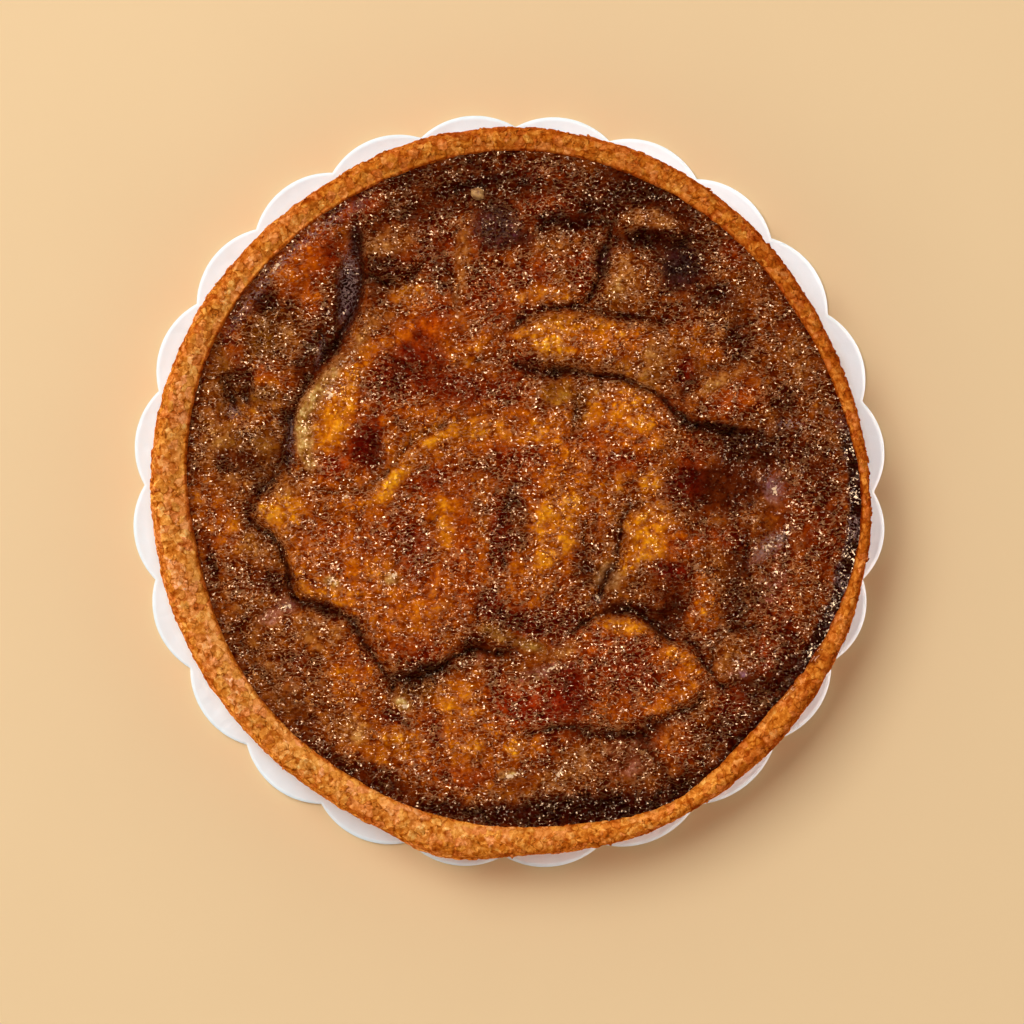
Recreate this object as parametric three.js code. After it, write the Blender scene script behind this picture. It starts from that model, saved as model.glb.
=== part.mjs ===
// A speculoos tart, 246 mm across, on the scalloped paper round that it is carried on.
// Millimetres, +Z up. The origin is the middle of the paper's underside.
//
// The pieces, from the bottom up: the paper round, the shortcrust shell with its uneven
// hand-pressed rim, and the baked filling, whose skin has risen, folded and sunk.

import * as THREE from 'three';

// ---- Driving dimensions ----

const STEPS_AROUND = 144; // divisions of every piece around its middle
const SEAT_GAP = 0.3; // air between two pieces that rest on each other

const PAPER_TIP_RADIUS = 130;
const PAPER_NOTCH_RADIUS = 125.6;
const PAPER_FLAT_RADIUS = 120.5; // flat this far out, then it curls up gently
const PAPER_THICKNESS = 0.8;
const PAPER_CURL = 1.6; // how far the scallops' tips lift off the table
const SCALLOP_COUNT = 24;
const FIRST_SCALLOP = 6.5; // degrees, the way the first scallop points

const TART_OFFSET = 1.8; // the tart stands this far off the paper's middle, along X
const CRUST_RADIUS = 123;
const CRUST_HEIGHT = 27;
const CRUST_FLARE = 2.6; // how much narrower the foot is than the widest part
const CRUST_FOOT_ROUND = 2.2;
const CRUST_FLOOR = 4;
const RIM_WAVE = 0.5; // how far the rim's crest rises and falls
const WALL_DRAFT = 0.6; // how far the outer wall leans in at the middle of its height

// The rim's section from its widest part over the crest: each point's share of the rim's
// breadth inwards, and its share of the crest's height.
const RIM_SECTION = [
  [0, 0.76],
  [0.13, 0.93],
  [0.4, 1],
  [0.72, 0.966],
];

// The inner wall's section, hidden by the filling: millimetres inwards from the lip, and
// upwards from the crust's floor. The lip itself stands just above the filling.
const WALL_SECTION = [
  [5.5, 0],
  [2.4, 2.4],
  [0.5, 12],
];
const LIP_STAND = 0.8;

const FILLING_RADIUS = 113.6; // where the filling meets the rim
const FILLING_LEVEL = 22.8; // above the crust's underside, at the rim
const FILLING_CROWN = 1.3; // how much higher its middle stands
const EDGE_CALM = 9; // the folds die away over this distance from the rim
const EDGE_PULL = 30; // the swells of the edge reach this far in
const FILLING_SIDE_GAP = 0.4;

// Where the crust's outline swells or is flattened: degrees around, degrees of spread,
// and millimetres outwards.
const OUTLINE_SWELLS = [
  { at: 24, spread: 34, out: -4.7 },
  { at: 126, spread: 11, out: -1.0 },
  { at: 222, spread: 24, out: -1.2 },
  { at: 259, spread: 9, out: 3.2 },
  { at: 291, spread: 12, out: 1.2 },
];

// Where the filling reaches further out or less far, so that the rim is thin or broad.
const RIM_SWELLS = [
  { at: 356, spread: 15, out: 3.8 },
  { at: 336, spread: 12, out: 1.8 },
  { at: 296, spread: 13, out: 4.0 },
  { at: 236, spread: 20, out: -2.3 },
  { at: 194, spread: 24, out: -4.3 },
  { at: 90, spread: 18, out: 1.6 },
  { at: 34, spread: 16, out: -0.9 },
];

// Where the filling's edge stands higher against the rim, or has shrunk away from it.
const EDGE_SWELLS = [
  { at: 0, spread: 50, out: 1.2 },
  { at: 292, spread: 14, out: 0.7 },
  { at: 140, spread: 24, out: 0.6 },
  { at: 190, spread: 9, out: -2.4 },
  { at: 212, spread: 6, out: -1.4 },
];

// Swollen lobes of the filling, and the hollows between them (a negative rise), each an
// oval of a length and width, turned by so many degrees, about x and y from the middle.
const LOBES = [
  { x: -34, y: -20, length: 92, width: 70, turn: -18, rise: 2.6 }, // the great middle fold
  { x: -46, y: 27, length: 58, width: 40, turn: 62, rise: 2.2 },
  { x: 27, y: 50, length: 58, width: 20, turn: -6, rise: 2.5 },
  { x: 40, y: 20, length: 32, width: 26, turn: 70, rise: 1.7 },
  { x: 71, y: 31, length: 34, width: 18, turn: 24, rise: 1.8 },
  { x: 14, y: 71, length: 34, width: 22, turn: 10, rise: 1.3 },
  { x: 42, y: 69, length: 22, width: 20, turn: 0, rise: 1.1 },
  { x: 47, y: -18, length: 34, width: 26, turn: -64, rise: 2.3 },
  { x: 40, y: -61, length: 62, width: 32, turn: -6, rise: 2.2 },
  { x: 55, y: -87, length: 22, width: 18, turn: 60, rise: 1.3 },
  { x: -4, y: -84, length: 56, width: 30, turn: 4, rise: 1.2 },
  { x: -62, y: -60, length: 48, width: 30, turn: -44, rise: 1.6 },
  { x: -91, y: -30, length: 38, width: 18, turn: -74, rise: 1.2 },
  { x: -84, y: 47, length: 30, width: 24, turn: 60, rise: 1.7 },
  { x: -76, y: 33, length: 22, width: 14, turn: 0, rise: 1.2 },
  { x: -89, y: 17, length: 26, width: 22, turn: 20, rise: 1.4 },
  { x: -43, y: 79, length: 22, width: 18, turn: 0, rise: 1.5 },
  { x: 49, y: 91, length: 32, width: 10, turn: -12, rise: 1.7 },
  { x: 79, y: -57, length: 26, width: 21, turn: -10, rise: 1.6 },
  { x: 73, y: 7, length: 34, width: 24, turn: -20, rise: -2.2 },
  { x: 90, y: -24, length: 46, width: 18, turn: 84, rise: -1.6 },
  { x: -94, y: 31, length: 20, width: 10, turn: 74, rise: -1.5 },
  { x: 60, y: 76, length: 22, width: 18, turn: 40, rise: -1.2 },
];

// Creases, where one fold of the skin laps against the next. Each runs from one place
// to another and bows to its left by so many millimetres.
const CREASES = [
  { from: [-88, -9], to: [-73, -35], bow: 2, depth: 2.6 },
  { from: [-73, -35], to: [-43, -61], bow: 4, depth: 3.2 },
  { from: [-43, -61], to: [-42, -73], bow: 1.5, depth: 2.0 },
  { from: [-43, -61], to: [-20, -55], bow: -4.5, depth: 2.6 },
  { from: [-20, -55], to: [4, -54], bow: 1, depth: 1.6 },
  { from: [-57, 52], to: [-75, 8], bow: -4.8, depth: 2.4 },
  { from: [-54, 89], to: [-57, 52], bow: 1.5, depth: 2.6 },
  { from: [-52, 74], to: [-32, 76], bow: -4.8, depth: 1.7 },
  { from: [31, 86], to: [24, 62], bow: 2.5, depth: 2.0 },
  { from: [24, 62], to: [0, 57], bow: -1, depth: 1.6 },
  { from: [4, 42], to: [46, 34], bow: 1.5, depth: 2.0 },
  { from: [46, 34], to: [80, 20], bow: -5, depth: 2.0 },
  { from: [35, 84], to: [57, 82], bow: -1, depth: 1.8 },
  { from: [41, -5], to: [28, -39], bow: 0, depth: 2.0 },
  { from: [20, -48], to: [46, -46], bow: 6, depth: 1.9 },
  { from: [46, -46], to: [62, -56], bow: 1, depth: 1.9 },
  { from: [62, -56], to: [71, -68], bow: -1, depth: 1.7 },
  { from: [75, -47], to: [66, -60], bow: -3, depth: 1.3 },
  { from: [14, -80], to: [66, -68], bow: -6, depth: 1.7 },
  { from: [38, -82], to: [52, -99], bow: 3, depth: 1.2 },
];
const LOBE_FLATNESS = 3; // the power that its fall towards the edge follows
const CREASE_WIDTH = 3.2;
const CREASE_STEPS = 8;

// ---- Small helpers ----

const smooth = (from, to, value) => THREE.MathUtils.smoothstep(value, from, to);

/** The sum of the swells at a bearing in radians, each a bell around its own bearing. */
function swellAt(swells, bearing) {
  const degrees = THREE.MathUtils.radToDeg(bearing);
  return swells.reduce((total, { at, spread, out }) => {
    const away = THREE.MathUtils.euclideanModulo(degrees - at + 180, 360) - 180;
    return total + out * Math.exp(-((away / spread) ** 2));
  }, 0);
}

/** The bearing in radians of one of the steps around, from a first bearing in degrees. */
function bearingOf(step, first = 0) {
  return THREE.MathUtils.degToRad(first) + (step / STEPS_AROUND) * Math.PI * 2;
}

/** A geometry from a list of [x, y, z] points and a list of corner triples. */
function geometryOf(points, triangles) {
  const geometry = new THREE.BufferGeometry();
  geometry.setAttribute('position', new THREE.Float32BufferAttribute(points.flat(), 3));
  geometry.setIndex(triangles.flat());
  geometry.computeVertexNormals();
  return geometry;
}

/**
 * A closed solid swept around Z. At each bearing the profile is a list of
 * [radius, height], from the axis underneath to the axis on top.
 */
function sweptSolid(profileAt, first = 0) {
  const points = [];
  const triangles = [];
  const rows = [];
  for (let step = 0; step < STEPS_AROUND; step++) {
    const bearing = bearingOf(step, first);
    const row = profileAt(bearing).slice(1, -1).map(([radius, height]) => {
      points.push([radius * Math.cos(bearing), radius * Math.sin(bearing), height]);
      return points.length - 1;
    });
    rows.push(row);
  }
  const ends = profileAt(bearingOf(0, first));
  const [under, top] = [ends[0], ends[ends.length - 1]].map(([, height]) => {
    points.push([0, 0, height]);
    return points.length - 1;
  });
  rows.forEach((row, step) => {
    const next = rows[(step + 1) % STEPS_AROUND];
    const last = row.length - 1;
    triangles.push([under, next[0], row[0]], [top, row[last], next[last]]);
    for (let i = 0; i < last; i++) {
      triangles.push([row[i], next[i], next[i + 1]], [row[i], next[i + 1], row[i + 1]]);
    }
  });
  return geometryOf(points, triangles);
}

// ---- The paper round ----

/** The paper's radius at a bearing: an arc for each scallop, from notch to notch. */
function paperRadius(bearing) {
  const pitch = (Math.PI * 2) / SCALLOP_COUNT;
  const fromTip = THREE.MathUtils.euclideanModulo(
    bearing - THREE.MathUtils.degToRad(FIRST_SCALLOP) + pitch / 2, pitch) - pitch / 2;
  const halfChord = PAPER_NOTCH_RADIUS * Math.sin(pitch / 2);
  const chordAt = PAPER_NOTCH_RADIUS * Math.cos(pitch / 2);
  const sagitta = PAPER_TIP_RADIUS - chordAt;
  const arcRadius = (halfChord ** 2 + sagitta ** 2) / (2 * sagitta);
  const arcCentre = PAPER_TIP_RADIUS - arcRadius;
  const across = arcCentre * Math.sin(fromTip);
  return arcCentre * Math.cos(fromTip) + Math.sqrt(arcRadius ** 2 - across ** 2);
}

/** How far the paper has curled up off the table, this far from its middle. */
function paperCurl(radius) {
  return PAPER_CURL * ((radius - PAPER_FLAT_RADIUS) / (PAPER_TIP_RADIUS - PAPER_FLAT_RADIUS)) ** 2;
}

function paperGeometry() {
  return sweptSolid((bearing) => {
    const edge = paperRadius(bearing);
    const radii = [PAPER_FLAT_RADIUS, THREE.MathUtils.lerp(PAPER_FLAT_RADIUS, edge, 0.55), edge];
    const under = radii.map((radius) => [radius, paperCurl(radius)]);
    const top = under.map(([radius, height]) => [radius, height + PAPER_THICKNESS]).reverse();
    return [[0, 0], ...under, ...top, [0, PAPER_THICKNESS]];
  }, FIRST_SCALLOP);
}

// ---- The crust ----

const CRUST_BASE = PAPER_THICKNESS + SEAT_GAP;

const crustRadius = (bearing) => CRUST_RADIUS + swellAt(OUTLINE_SWELLS, bearing);
const fillingRadius = (bearing) => FILLING_RADIUS + swellAt(RIM_SWELLS, bearing);
const edgeLevel = (bearing) => FILLING_LEVEL + swellAt(EDGE_SWELLS, bearing);

/** The crest's height above the crust's underside: it waves, as a rim pressed by hand. */
function crestHeight(bearing) {
  const wave = Math.sin(2 * bearing + 0.8) + 0.6 * Math.sin(5 * bearing) + 0.5 * Math.sin(9 * bearing + 2);
  return CRUST_HEIGHT + RIM_WAVE * wave;
}

/** The inner wall, from its floor up to where the filling's edge meets it. */
function innerWall(bearing) {
  const lip = fillingRadius(bearing);
  const wall = WALL_SECTION.map(([inwards, up]) => [lip - inwards, CRUST_FLOOR + up]);
  return [...wall, [lip, FILLING_LEVEL + LIP_STAND]];
}

function crustProfile(bearing) {
  const outer = crustRadius(bearing);
  const foot = outer - CRUST_FLARE;
  const crest = crestHeight(bearing);
  const rim = outer - fillingRadius(bearing);
  const profile = [
    [0, 0],
    [foot - CRUST_FOOT_ROUND, 0],
    [foot, CRUST_FOOT_ROUND],
    [outer - WALL_DRAFT, crest / 2],
    ...RIM_SECTION.map(([inwards, up]) => [outer - rim * inwards, crest * up]),
    ...innerWall(bearing).reverse(),
    [0, CRUST_FLOOR],
  ];
  return profile.map(([radius, height]) => [radius, height + CRUST_BASE]);
}

// ---- The filling ----

/** How deep one crease is at a place: a bell across its bowed line. */
function creaseDepth({ from, to, bow, depth }, x, y) {
  const start = new THREE.Vector2(...from);
  const end = new THREE.Vector2(...to);
  const left = end.clone().sub(start).rotateAround(new THREE.Vector2(), Math.PI / 2).normalize();
  const middle = start.clone().lerp(end, 0.5).addScaledVector(left, bow * 2);
  const line = new THREE.QuadraticBezierCurve(start, middle, end);
  const here = new THREE.Vector2(x, y);
  const away = Math.min(...line.getPoints(CREASE_STEPS).map((point) => point.distanceTo(here)));
  return depth * Math.exp(-((away / CREASE_WIDTH) ** 2));
}

/** How much one lobe raises the skin at a place: nearly flat on top, round at its edge. */
function lobeRise({ x: atX, y: atY, length, width, turn, rise }, x, y) {
  const here = new THREE.Vector2(x - atX, y - atY);
  here.rotateAround(new THREE.Vector2(), -THREE.MathUtils.degToRad(turn));
  const out = Math.hypot(here.x / (length / 2), here.y / (width / 2));
  return rise * Math.exp(-(out ** LOBE_FLATNESS));
}

/** The skin's height above the crust's underside, from the tart's middle. */
function skinHeight(x, y) {
  const radius = Math.hypot(x, y);
  const bearing = Math.atan2(y, x);
  const edge = fillingRadius(bearing);
  const calm = smooth(0, EDGE_CALM, edge - radius);
  const swelling = LOBES.reduce((total, lobe) => total + lobeRise(lobe, x, y), 0);
  const folds = swelling - Math.max(...CREASES.map((crease) => creaseDepth(crease, x, y)));
  const edgePull = smooth(edge - EDGE_PULL, edge, radius);
  const level = THREE.MathUtils.lerp(FILLING_LEVEL, edgeLevel(bearing), edgePull);
  const crown = FILLING_CROWN * (1 - (radius / edge) ** 2);
  return level + crown + calm * folds;
}

/**
 * The filling's skin is a disc of rings in which ring k holds 6k points, so that its
 * triangles stay nearly even. Its side then follows the crust's inner wall down.
 */
function fillingGeometry() {
  const rings = STEPS_AROUND / 6;
  const points = [[0, 0, skinHeight(0, 0)]];
  const triangles = [];
  const firstOf = (ring) => (ring === 0 ? 0 : 1 + 3 * ring * (ring - 1));
  for (let ring = 1; ring <= rings; ring++) {
    for (let i = 0; i < 6 * ring; i++) {
      const bearing = (i / (6 * ring)) * Math.PI * 2;
      const radius = (ring / rings) * (fillingRadius(bearing) - FILLING_SIDE_GAP);
      const [x, y] = [radius * Math.cos(bearing), radius * Math.sin(bearing)];
      points.push([x, y, skinHeight(x, y)]);
    }
    const outer = (i) => firstOf(ring) + (i % (6 * ring));
    const inner = (i) => (ring === 1 ? 0 : firstOf(ring - 1) + (i % (6 * (ring - 1))));
    for (let sixth = 0; sixth < 6; sixth++) {
      for (let i = 0; i < ring; i++) {
        const [out, into] = [sixth * ring + i, sixth * (ring - 1) + i];
        triangles.push([inner(into), outer(out), outer(out + 1)]);
        if (i < ring - 1) triangles.push([inner(into), outer(out + 1), inner(into + 1)]);
      }
    }
  }

  let above = firstOf(rings);
  const sideRows = innerWall(0).length - 1;
  for (let row = sideRows - 1; row >= 0; row--) {
    const start = points.length;
    for (let step = 0; step < STEPS_AROUND; step++) {
      const bearing = bearingOf(step);
      const [wallRadius, wallHeight] = innerWall(bearing)[row];
      const radius = wallRadius - FILLING_SIDE_GAP;
      points.push([radius * Math.cos(bearing), radius * Math.sin(bearing), wallHeight + SEAT_GAP]);
      const next = (step + 1) % STEPS_AROUND;
      triangles.push([above + step, start + step, start + next]);
      triangles.push([above + step, start + next, above + next]);
    }
    above = start;
  }
  const under = points.length;
  points.push([0, 0, CRUST_FLOOR + SEAT_GAP]);
  for (let step = 0; step < STEPS_AROUND; step++) {
    triangles.push([under, above + ((step + 1) % STEPS_AROUND), above + step]);
  }
  const raised = points.map(([x, y, z]) => [x, y, z + CRUST_BASE]);
  return geometryOf(raised, triangles);
}

// ---- The whole tart on its paper ----

/** A named piece with its own colour and roughness. */
function piece(name, geometry, color, roughness) {
  const material = new THREE.MeshStandardMaterial({ color, roughness, metalness: 0 });
  const mesh = new THREE.Mesh(geometry, material);
  mesh.name = name;
  return mesh;
}

const tart = new THREE.Group();
tart.position.x = TART_OFFSET;
tart.add(piece('crust', sweptSolid(crustProfile), 0xcd802f, 0.8));
tart.add(piece('filling', fillingGeometry(), 0x9a5418, 0.35));

const object = new THREE.Group();
object.add(piece('paper_round', paperGeometry(), 0xf4ebe4, 0.75), tart);

export default object;
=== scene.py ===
"""Dresses a speculoos tart on its scalloped paper round.

The tables near the top are in millimetres and degrees, in the tart's own plane: x to the
right and y to the back, from the middle of the tart. The meshes are in metres, in the
frame's axes. Every piece is built from the same named measures as the solids it stands for.
"""

from __future__ import annotations

import sys

import logging
import math
from dataclasses import dataclass, field
from enum import Enum

import bmesh
import bpy
import numpy as np
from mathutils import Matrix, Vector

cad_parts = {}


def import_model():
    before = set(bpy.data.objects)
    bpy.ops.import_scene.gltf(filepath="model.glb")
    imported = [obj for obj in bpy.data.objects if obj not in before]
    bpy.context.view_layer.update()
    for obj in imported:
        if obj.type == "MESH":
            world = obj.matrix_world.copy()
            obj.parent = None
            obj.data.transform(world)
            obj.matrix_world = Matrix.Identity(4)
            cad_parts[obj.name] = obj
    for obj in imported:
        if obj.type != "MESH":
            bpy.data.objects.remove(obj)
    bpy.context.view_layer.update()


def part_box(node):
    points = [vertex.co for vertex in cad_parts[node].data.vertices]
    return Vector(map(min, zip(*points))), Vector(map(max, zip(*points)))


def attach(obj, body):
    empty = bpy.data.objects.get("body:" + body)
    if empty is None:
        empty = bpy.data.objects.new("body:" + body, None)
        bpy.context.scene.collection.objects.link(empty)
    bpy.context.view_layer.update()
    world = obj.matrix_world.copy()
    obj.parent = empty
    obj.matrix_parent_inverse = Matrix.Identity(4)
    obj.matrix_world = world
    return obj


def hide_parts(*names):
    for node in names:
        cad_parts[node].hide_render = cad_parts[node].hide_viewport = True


LOG = logging.getLogger("tart")
MM = 0.001
Array = np.ndarray
Socket = bpy.types.NodeSocket
Pair = tuple[float, float]
Triple = tuple[float, float, float]

# Large odd numbers that scatter the bits of a lattice corner's place and of its seed.
HASH_U = 374761393
HASH_V = 668265263
HASH_SEED = 362437
HASH_MIX = 1274126177


# ---------------------------------------------------------------------------------------
# Small mathematics
# ---------------------------------------------------------------------------------------


def smooth(low: float | Array, high: float | Array, value: Array) -> Array:
    """Eases from 0 at low to 1 at high.

    Args:
        low: Where the ease starts.
        high: Where it ends.
        value: The values to ease.

    Returns:
        Numbers from 0 to 1.
    """
    t = np.clip((value - low) / (high - low), 0.0, 1.0)
    return t * t * (3 - 2 * t)


def mix(a: Array | float, b: Array | float, share: Array | float) -> Array:
    """Goes from a to b by a share from 0 to 1."""
    return a + (b - a) * share


def linear(red: float, green: float, blue: float) -> Triple:
    """Turns a display colour of 0 to 255 into the linear colour that light works in.

    Args:
        red: Display red.
        green: Display green.
        blue: Display blue.

    Returns:
        The linear red, green and blue, from 0 to 1.
    """

    def one(value: float) -> float:
        """Undoes the display curve on one channel."""
        share = value / 255
        return share / 12.92 if share <= 0.04045 else ((share + 0.055) / 1.055) ** 2.4

    return one(red), one(green), one(blue)


def polar(radius: Array, bearing: Array, height: Array) -> Array:
    """Places at a radius, bearing and height, as rows of x, y and z."""
    return np.stack([radius * np.cos(bearing), radius * np.sin(bearing), height], -1)


def extended(points: Array) -> Array:
    """A row of points with one more before it and one after, straight on."""
    return np.concatenate([2 * points[:1] - points[1:2], points, 2 * points[-1:] - points[-2:-1]])


def rounded(before: Array, start: Array, end: Array, after: Array, t: Array | float) -> Array:
    """A rounded path between the middle two of four points in a row.

    Args:
        before: The point before the path.
        start: Where the path starts.
        end: Where it ends.
        after: The point after it.
        t: How far along the path, from 0 to 1.

    Returns:
        The places on the path.
    """
    path = 2 * start + (end - before) * t + (2 * before - 5 * start + 4 * end - after) * t**2
    return (path + (3 * start - before - 3 * end + after) * t**3) / 2


@dataclass(frozen=True)
class Noise:
    """Repeatable noise over a plane; wrap is the number of cells after which u repeats."""

    pitch: float
    seed: int
    wrap: int = 0

    def _hash(self, iu: Array, iv: Array, salt: int = 0) -> Array:
        """Gives each lattice corner a number from 0 to 1.

        Args:
            iu: Whole cell numbers along u.
            iv: Whole cell numbers along v.
            salt: Picks one of several numbers for the same corner.

        Returns:
            The corners' numbers.
        """
        if self.wrap:
            iu = np.mod(iu, self.wrap)
        word = iu.astype(np.int64) * HASH_U + iv.astype(np.int64) * HASH_V
        word = word + (self.seed * 97 + salt) * HASH_SEED
        word = (word ^ (word >> 13)) * HASH_MIX
        word = word ^ (word >> 16)
        return (word & 0xFFFFFF) / float(0x1000000)

    def value(self, u: Array, v: Array) -> Array:
        """Smooth noise.

        Args:
            u: First coordinate, in the unit of pitch.
            v: Second coordinate.

        Returns:
            Numbers from -1 to 1.
        """
        u, v = u / self.pitch, v / self.pitch
        iu, iv = np.floor(u), np.floor(v)
        su, sv = smooth(0.0, 1.0, u - iu), smooth(0.0, 1.0, v - iv)
        low = mix(self._hash(iu, iv), self._hash(iu + 1, iv), su)
        high = mix(self._hash(iu, iv + 1), self._hash(iu + 1, iv + 1), su)
        return mix(low, high, sv) * 2 - 1

    def fractal(self, u: Array, v: Array, octaves: int = 3) -> Array:
        """Noise with finer noise on it, each octave half as large and half as strong.

        Args:
            u: First coordinate.
            v: Second coordinate.
            octaves: How many sizes are laid over each other.

        Returns:
            Numbers from about -1 to 1.
        """
        total, strength = np.zeros_like(u), 1.0
        for octave in range(octaves):
            fine = Noise(self.pitch / 2**octave, self.seed + octave, self.wrap * 2**octave)
            total += strength * fine.value(u, v)
            strength /= 2
        return total / (2 - 2.0 ** (1 - octaves))

    def cells(self, u: Array, v: Array) -> tuple[Array, Array, Array]:
        """Scattered grains: which is nearest, and how near.

        Args:
            u: First coordinate.
            v: Second coordinate.

        Returns:
            Distance to the nearest grain's middle and to the second nearest, both in
            pitches, and the nearest grain's own number from 0 to 1.
        """
        u, v = u / self.pitch, v / self.pitch
        iu, iv = np.floor(u), np.floor(v)
        first, second, own = np.full_like(u, 9.0), np.full_like(u, 9.0), np.zeros_like(u)
        for du in (-1, 0, 1):
            for dv in (-1, 0, 1):
                cu, cv = iu + du, iv + dv
                away = np.hypot(cu + self._hash(cu, cv, 1) - u, cv + self._hash(cu, cv, 2) - v)
                closer = away < first
                second = np.where(closer, first, np.minimum(second, away))
                own = np.where(closer, self._hash(cu, cv, 3), own)
                first = np.where(closer, away, first)
        return first, second, own


# ---------------------------------------------------------------------------------------
# The tart's form
# ---------------------------------------------------------------------------------------


@dataclass(frozen=True)
class Swell:
    """A bell around one bearing that pushes a circle out, or a level up."""

    at: float
    spread: float
    out: float

    def reach(self, bearing: Array) -> Array:
        """How far it pushes at each bearing in radians."""
        away = np.mod(np.degrees(bearing) - self.at + 180, 360) - 180
        return self.out * np.exp(-((away / self.spread) ** 2))


@dataclass(frozen=True)
class Oval:
    """An oval area of the tart: a length along its turn, and a width across it."""

    x: float
    y: float
    length: float
    width: float
    turn: float

    def cover(self, x: Array, y: Array, ragged: Array | float = 0.0) -> Array:
        """How much of each place it covers, its outline frayed by ragged."""
        return np.exp(-(np.maximum(self.outness(x, y) + ragged, 0) ** 4))

    def outness(self, x: Array, y: Array) -> Array:
        """How far out from the oval's middle each place lies.

        Args:
            x: Places' x.
            y: Places' y.

        Returns:
            0 at the middle, 1 on the outline, and more beyond it.
        """
        turn = math.radians(self.turn)
        dx, dy = x - self.x, y - self.y
        along = dx * math.cos(turn) + dy * math.sin(turn)
        across = dy * math.cos(turn) - dx * math.sin(turn)
        return np.hypot(along / (self.length / 2), across / (self.width / 2))


@dataclass(frozen=True)
class Lobe(Oval):
    """A swollen fold of the skin, or a hollow where rise is negative."""

    rise: float

    def height(self, x: Array, y: Array) -> Array:
        """How far it lifts the skin at each place."""
        return self.rise * self.cover(x, y)


@dataclass(frozen=True)
class Crease:
    """A crease where one fold laps on the next, through a few points in order.

    lip is how far the fold on the crease's left stands proud beside it, or the one on
    its right where lip is negative.
    """

    points: tuple[tuple[float, float], ...]
    depth: float
    width: float = 1.9
    lip: float = 0.0

    def line(self, steps: int = 6) -> Array:
        """The crease's path, rounded through its points.

        Args:
            steps: How many short lines join each point to the next.

        Returns:
            One row of x and y for each point of the path.
        """
        ends = np.array(self.points, float)
        knots = extended(ends)
        t = np.linspace(0, 1, steps, endpoint=False)[:, None]
        spans = [rounded(*knots[i : i + 4], t) for i in range(len(ends) - 1)]
        return np.vstack([*spans, ends[-1:]])

    def across(self, x: Array, y: Array) -> tuple[Array, Array, Array]:
        """Where places lie from the crease.

        Args:
            x: Places' x.
            y: Places' y.

        Returns:
            The distance to the crease, positive on its left; the distance itself; and
            the share of the way along it, from 0 to 1.
        """
        line = self.line()
        best, side, along = np.full_like(x, 1e6), np.ones_like(x), np.zeros_like(x)
        for i, (start, end) in enumerate(zip(line, line[1:])):
            step = end - start
            span = float(step @ step)
            dx, dy = x - start[0], y - start[1]
            t = np.clip((dx * step[0] + dy * step[1]) / span, 0, 1)
            away = np.hypot(dx - t * step[0], dy - t * step[1])
            near = away < best
            left = np.where(step[0] * dy - step[1] * dx >= 0, 1.0, -1.0)
            side = np.where(near, left, side)
            along = np.where(near, (i + t) / (len(line) - 1), along)
            best = np.where(near, away, best)
        return best * side, best, along


def rows(kind: type, *entries: tuple) -> tuple:
    """Makes one of a kind from each row of a table."""
    return tuple(kind(*entry) for entry in entries)


# Shared with the solids: degrees around, degrees of spread, millimetres outwards.
OUTLINE_SWELLS = rows(
    Swell,
    (24, 34, -4.7),
    (126, 11, -1.0),
    (222, 24, -1.2),
    (259, 9, 3.2),
    (291, 12, 1.2),
)
RIM_SWELLS = rows(
    Swell,
    (356, 15, 3.8),
    (336, 12, 1.8),
    (296, 13, 4.0),
    (236, 20, -2.3),
    (194, 24, -4.3),
    (90, 18, 1.6),
    (34, 16, -0.9),
)
EDGE_SWELLS = rows(
    Swell,
    (0, 50, 1.2),
    (292, 14, 0.7),
    (140, 24, 0.6),
    (190, 9, -2.4),
    (212, 6, -1.4),
)

LOBES = rows(
    Lobe,
    (-34, -20, 90, 68, -18, 2.6),
    (-46, 27, 58, 40, 62, 2.2),
    (27, 50, 58, 20, -6, 2.5),
    (40, 20, 32, 26, 70, 1.7),
    (71, 31, 34, 18, 24, 1.8),
    (14, 71, 34, 22, 10, 1.3),
    (42, 69, 22, 20, 0, 1.1),
    (47, -18, 34, 26, -64, 2.3),
    (40, -61, 62, 32, -6, 2.2),
    (55, -87, 22, 18, 60, 1.3),
    (-4, -84, 56, 30, 4, 1.2),
    (-62, -60, 48, 30, -44, 1.6),
    (-91, -30, 38, 18, -74, 1.2),
    (-84, 47, 30, 24, 60, 1.7),
    (-76, 33, 22, 14, 0, 1.2),
    (-89, 17, 26, 22, 20, 1.4),
    (-43, 79, 22, 18, 0, 1.5),
    (49, 91, 32, 10, -12, 1.7),
    (79, -57, 26, 21, -10, 1.6),
    (73, 7, 34, 24, -20, -2.2),
    (90, -24, 46, 18, 84, -1.6),
    (-94, 31, 20, 10, 74, -1.5),
    (60, 76, 22, 18, 40, -1.2),
    # Smaller swellings, which the solids leave out.
    (-73, 76, 58, 9, 50, 1.3),
    (-56, 70, 34, 9, 92, -1.3),
    (-33, 50, 30, 14, 12, 0.8),
    (-30, -48, 24, 18, 10, 0.8),
    (-22, -30, 26, 9, 62, 0.8),
    (-60, -24, 24, 16, 10, 0.7),
    (-75, -5, 20, 14, -20, 0.9),
    (8, -22, 34, 15, 78, 0.9),
    (10, 12, 26, 13, 14, 0.9),
    (12, 30, 18, 12, 10, 0.8),
    (63, -36, 24, 12, 72, 1.0),
    (-77, -45, 18, 10, 20, 0.8),
    (-20, -72, 22, 13, 10, 0.9),
    (-52, -84, 24, 11, -12, 0.8),
    (35, -92, 26, 13, 8, 0.8),
    (90, 47, 22, 16, -50, 0.8),
    (100, 14, 20, 13, 80, 0.8),
    (100, -24, 34, 14, 82, 0.9),
    (-16, 84, 26, 10, 86, 0.8),
    (8, 100, 40, 12, 2, 0.7),
    (-33, 98, 22, 9, 24, -1.0),
    (-4, 91, 16, 10, 0, -0.7),
    (20, 40.5, 8, 4, 0, -1.2),
    (52, -44, 14, 10, -20, -1.1),
    (30, 77, 7, 14, -10, -0.9),
)

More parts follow.
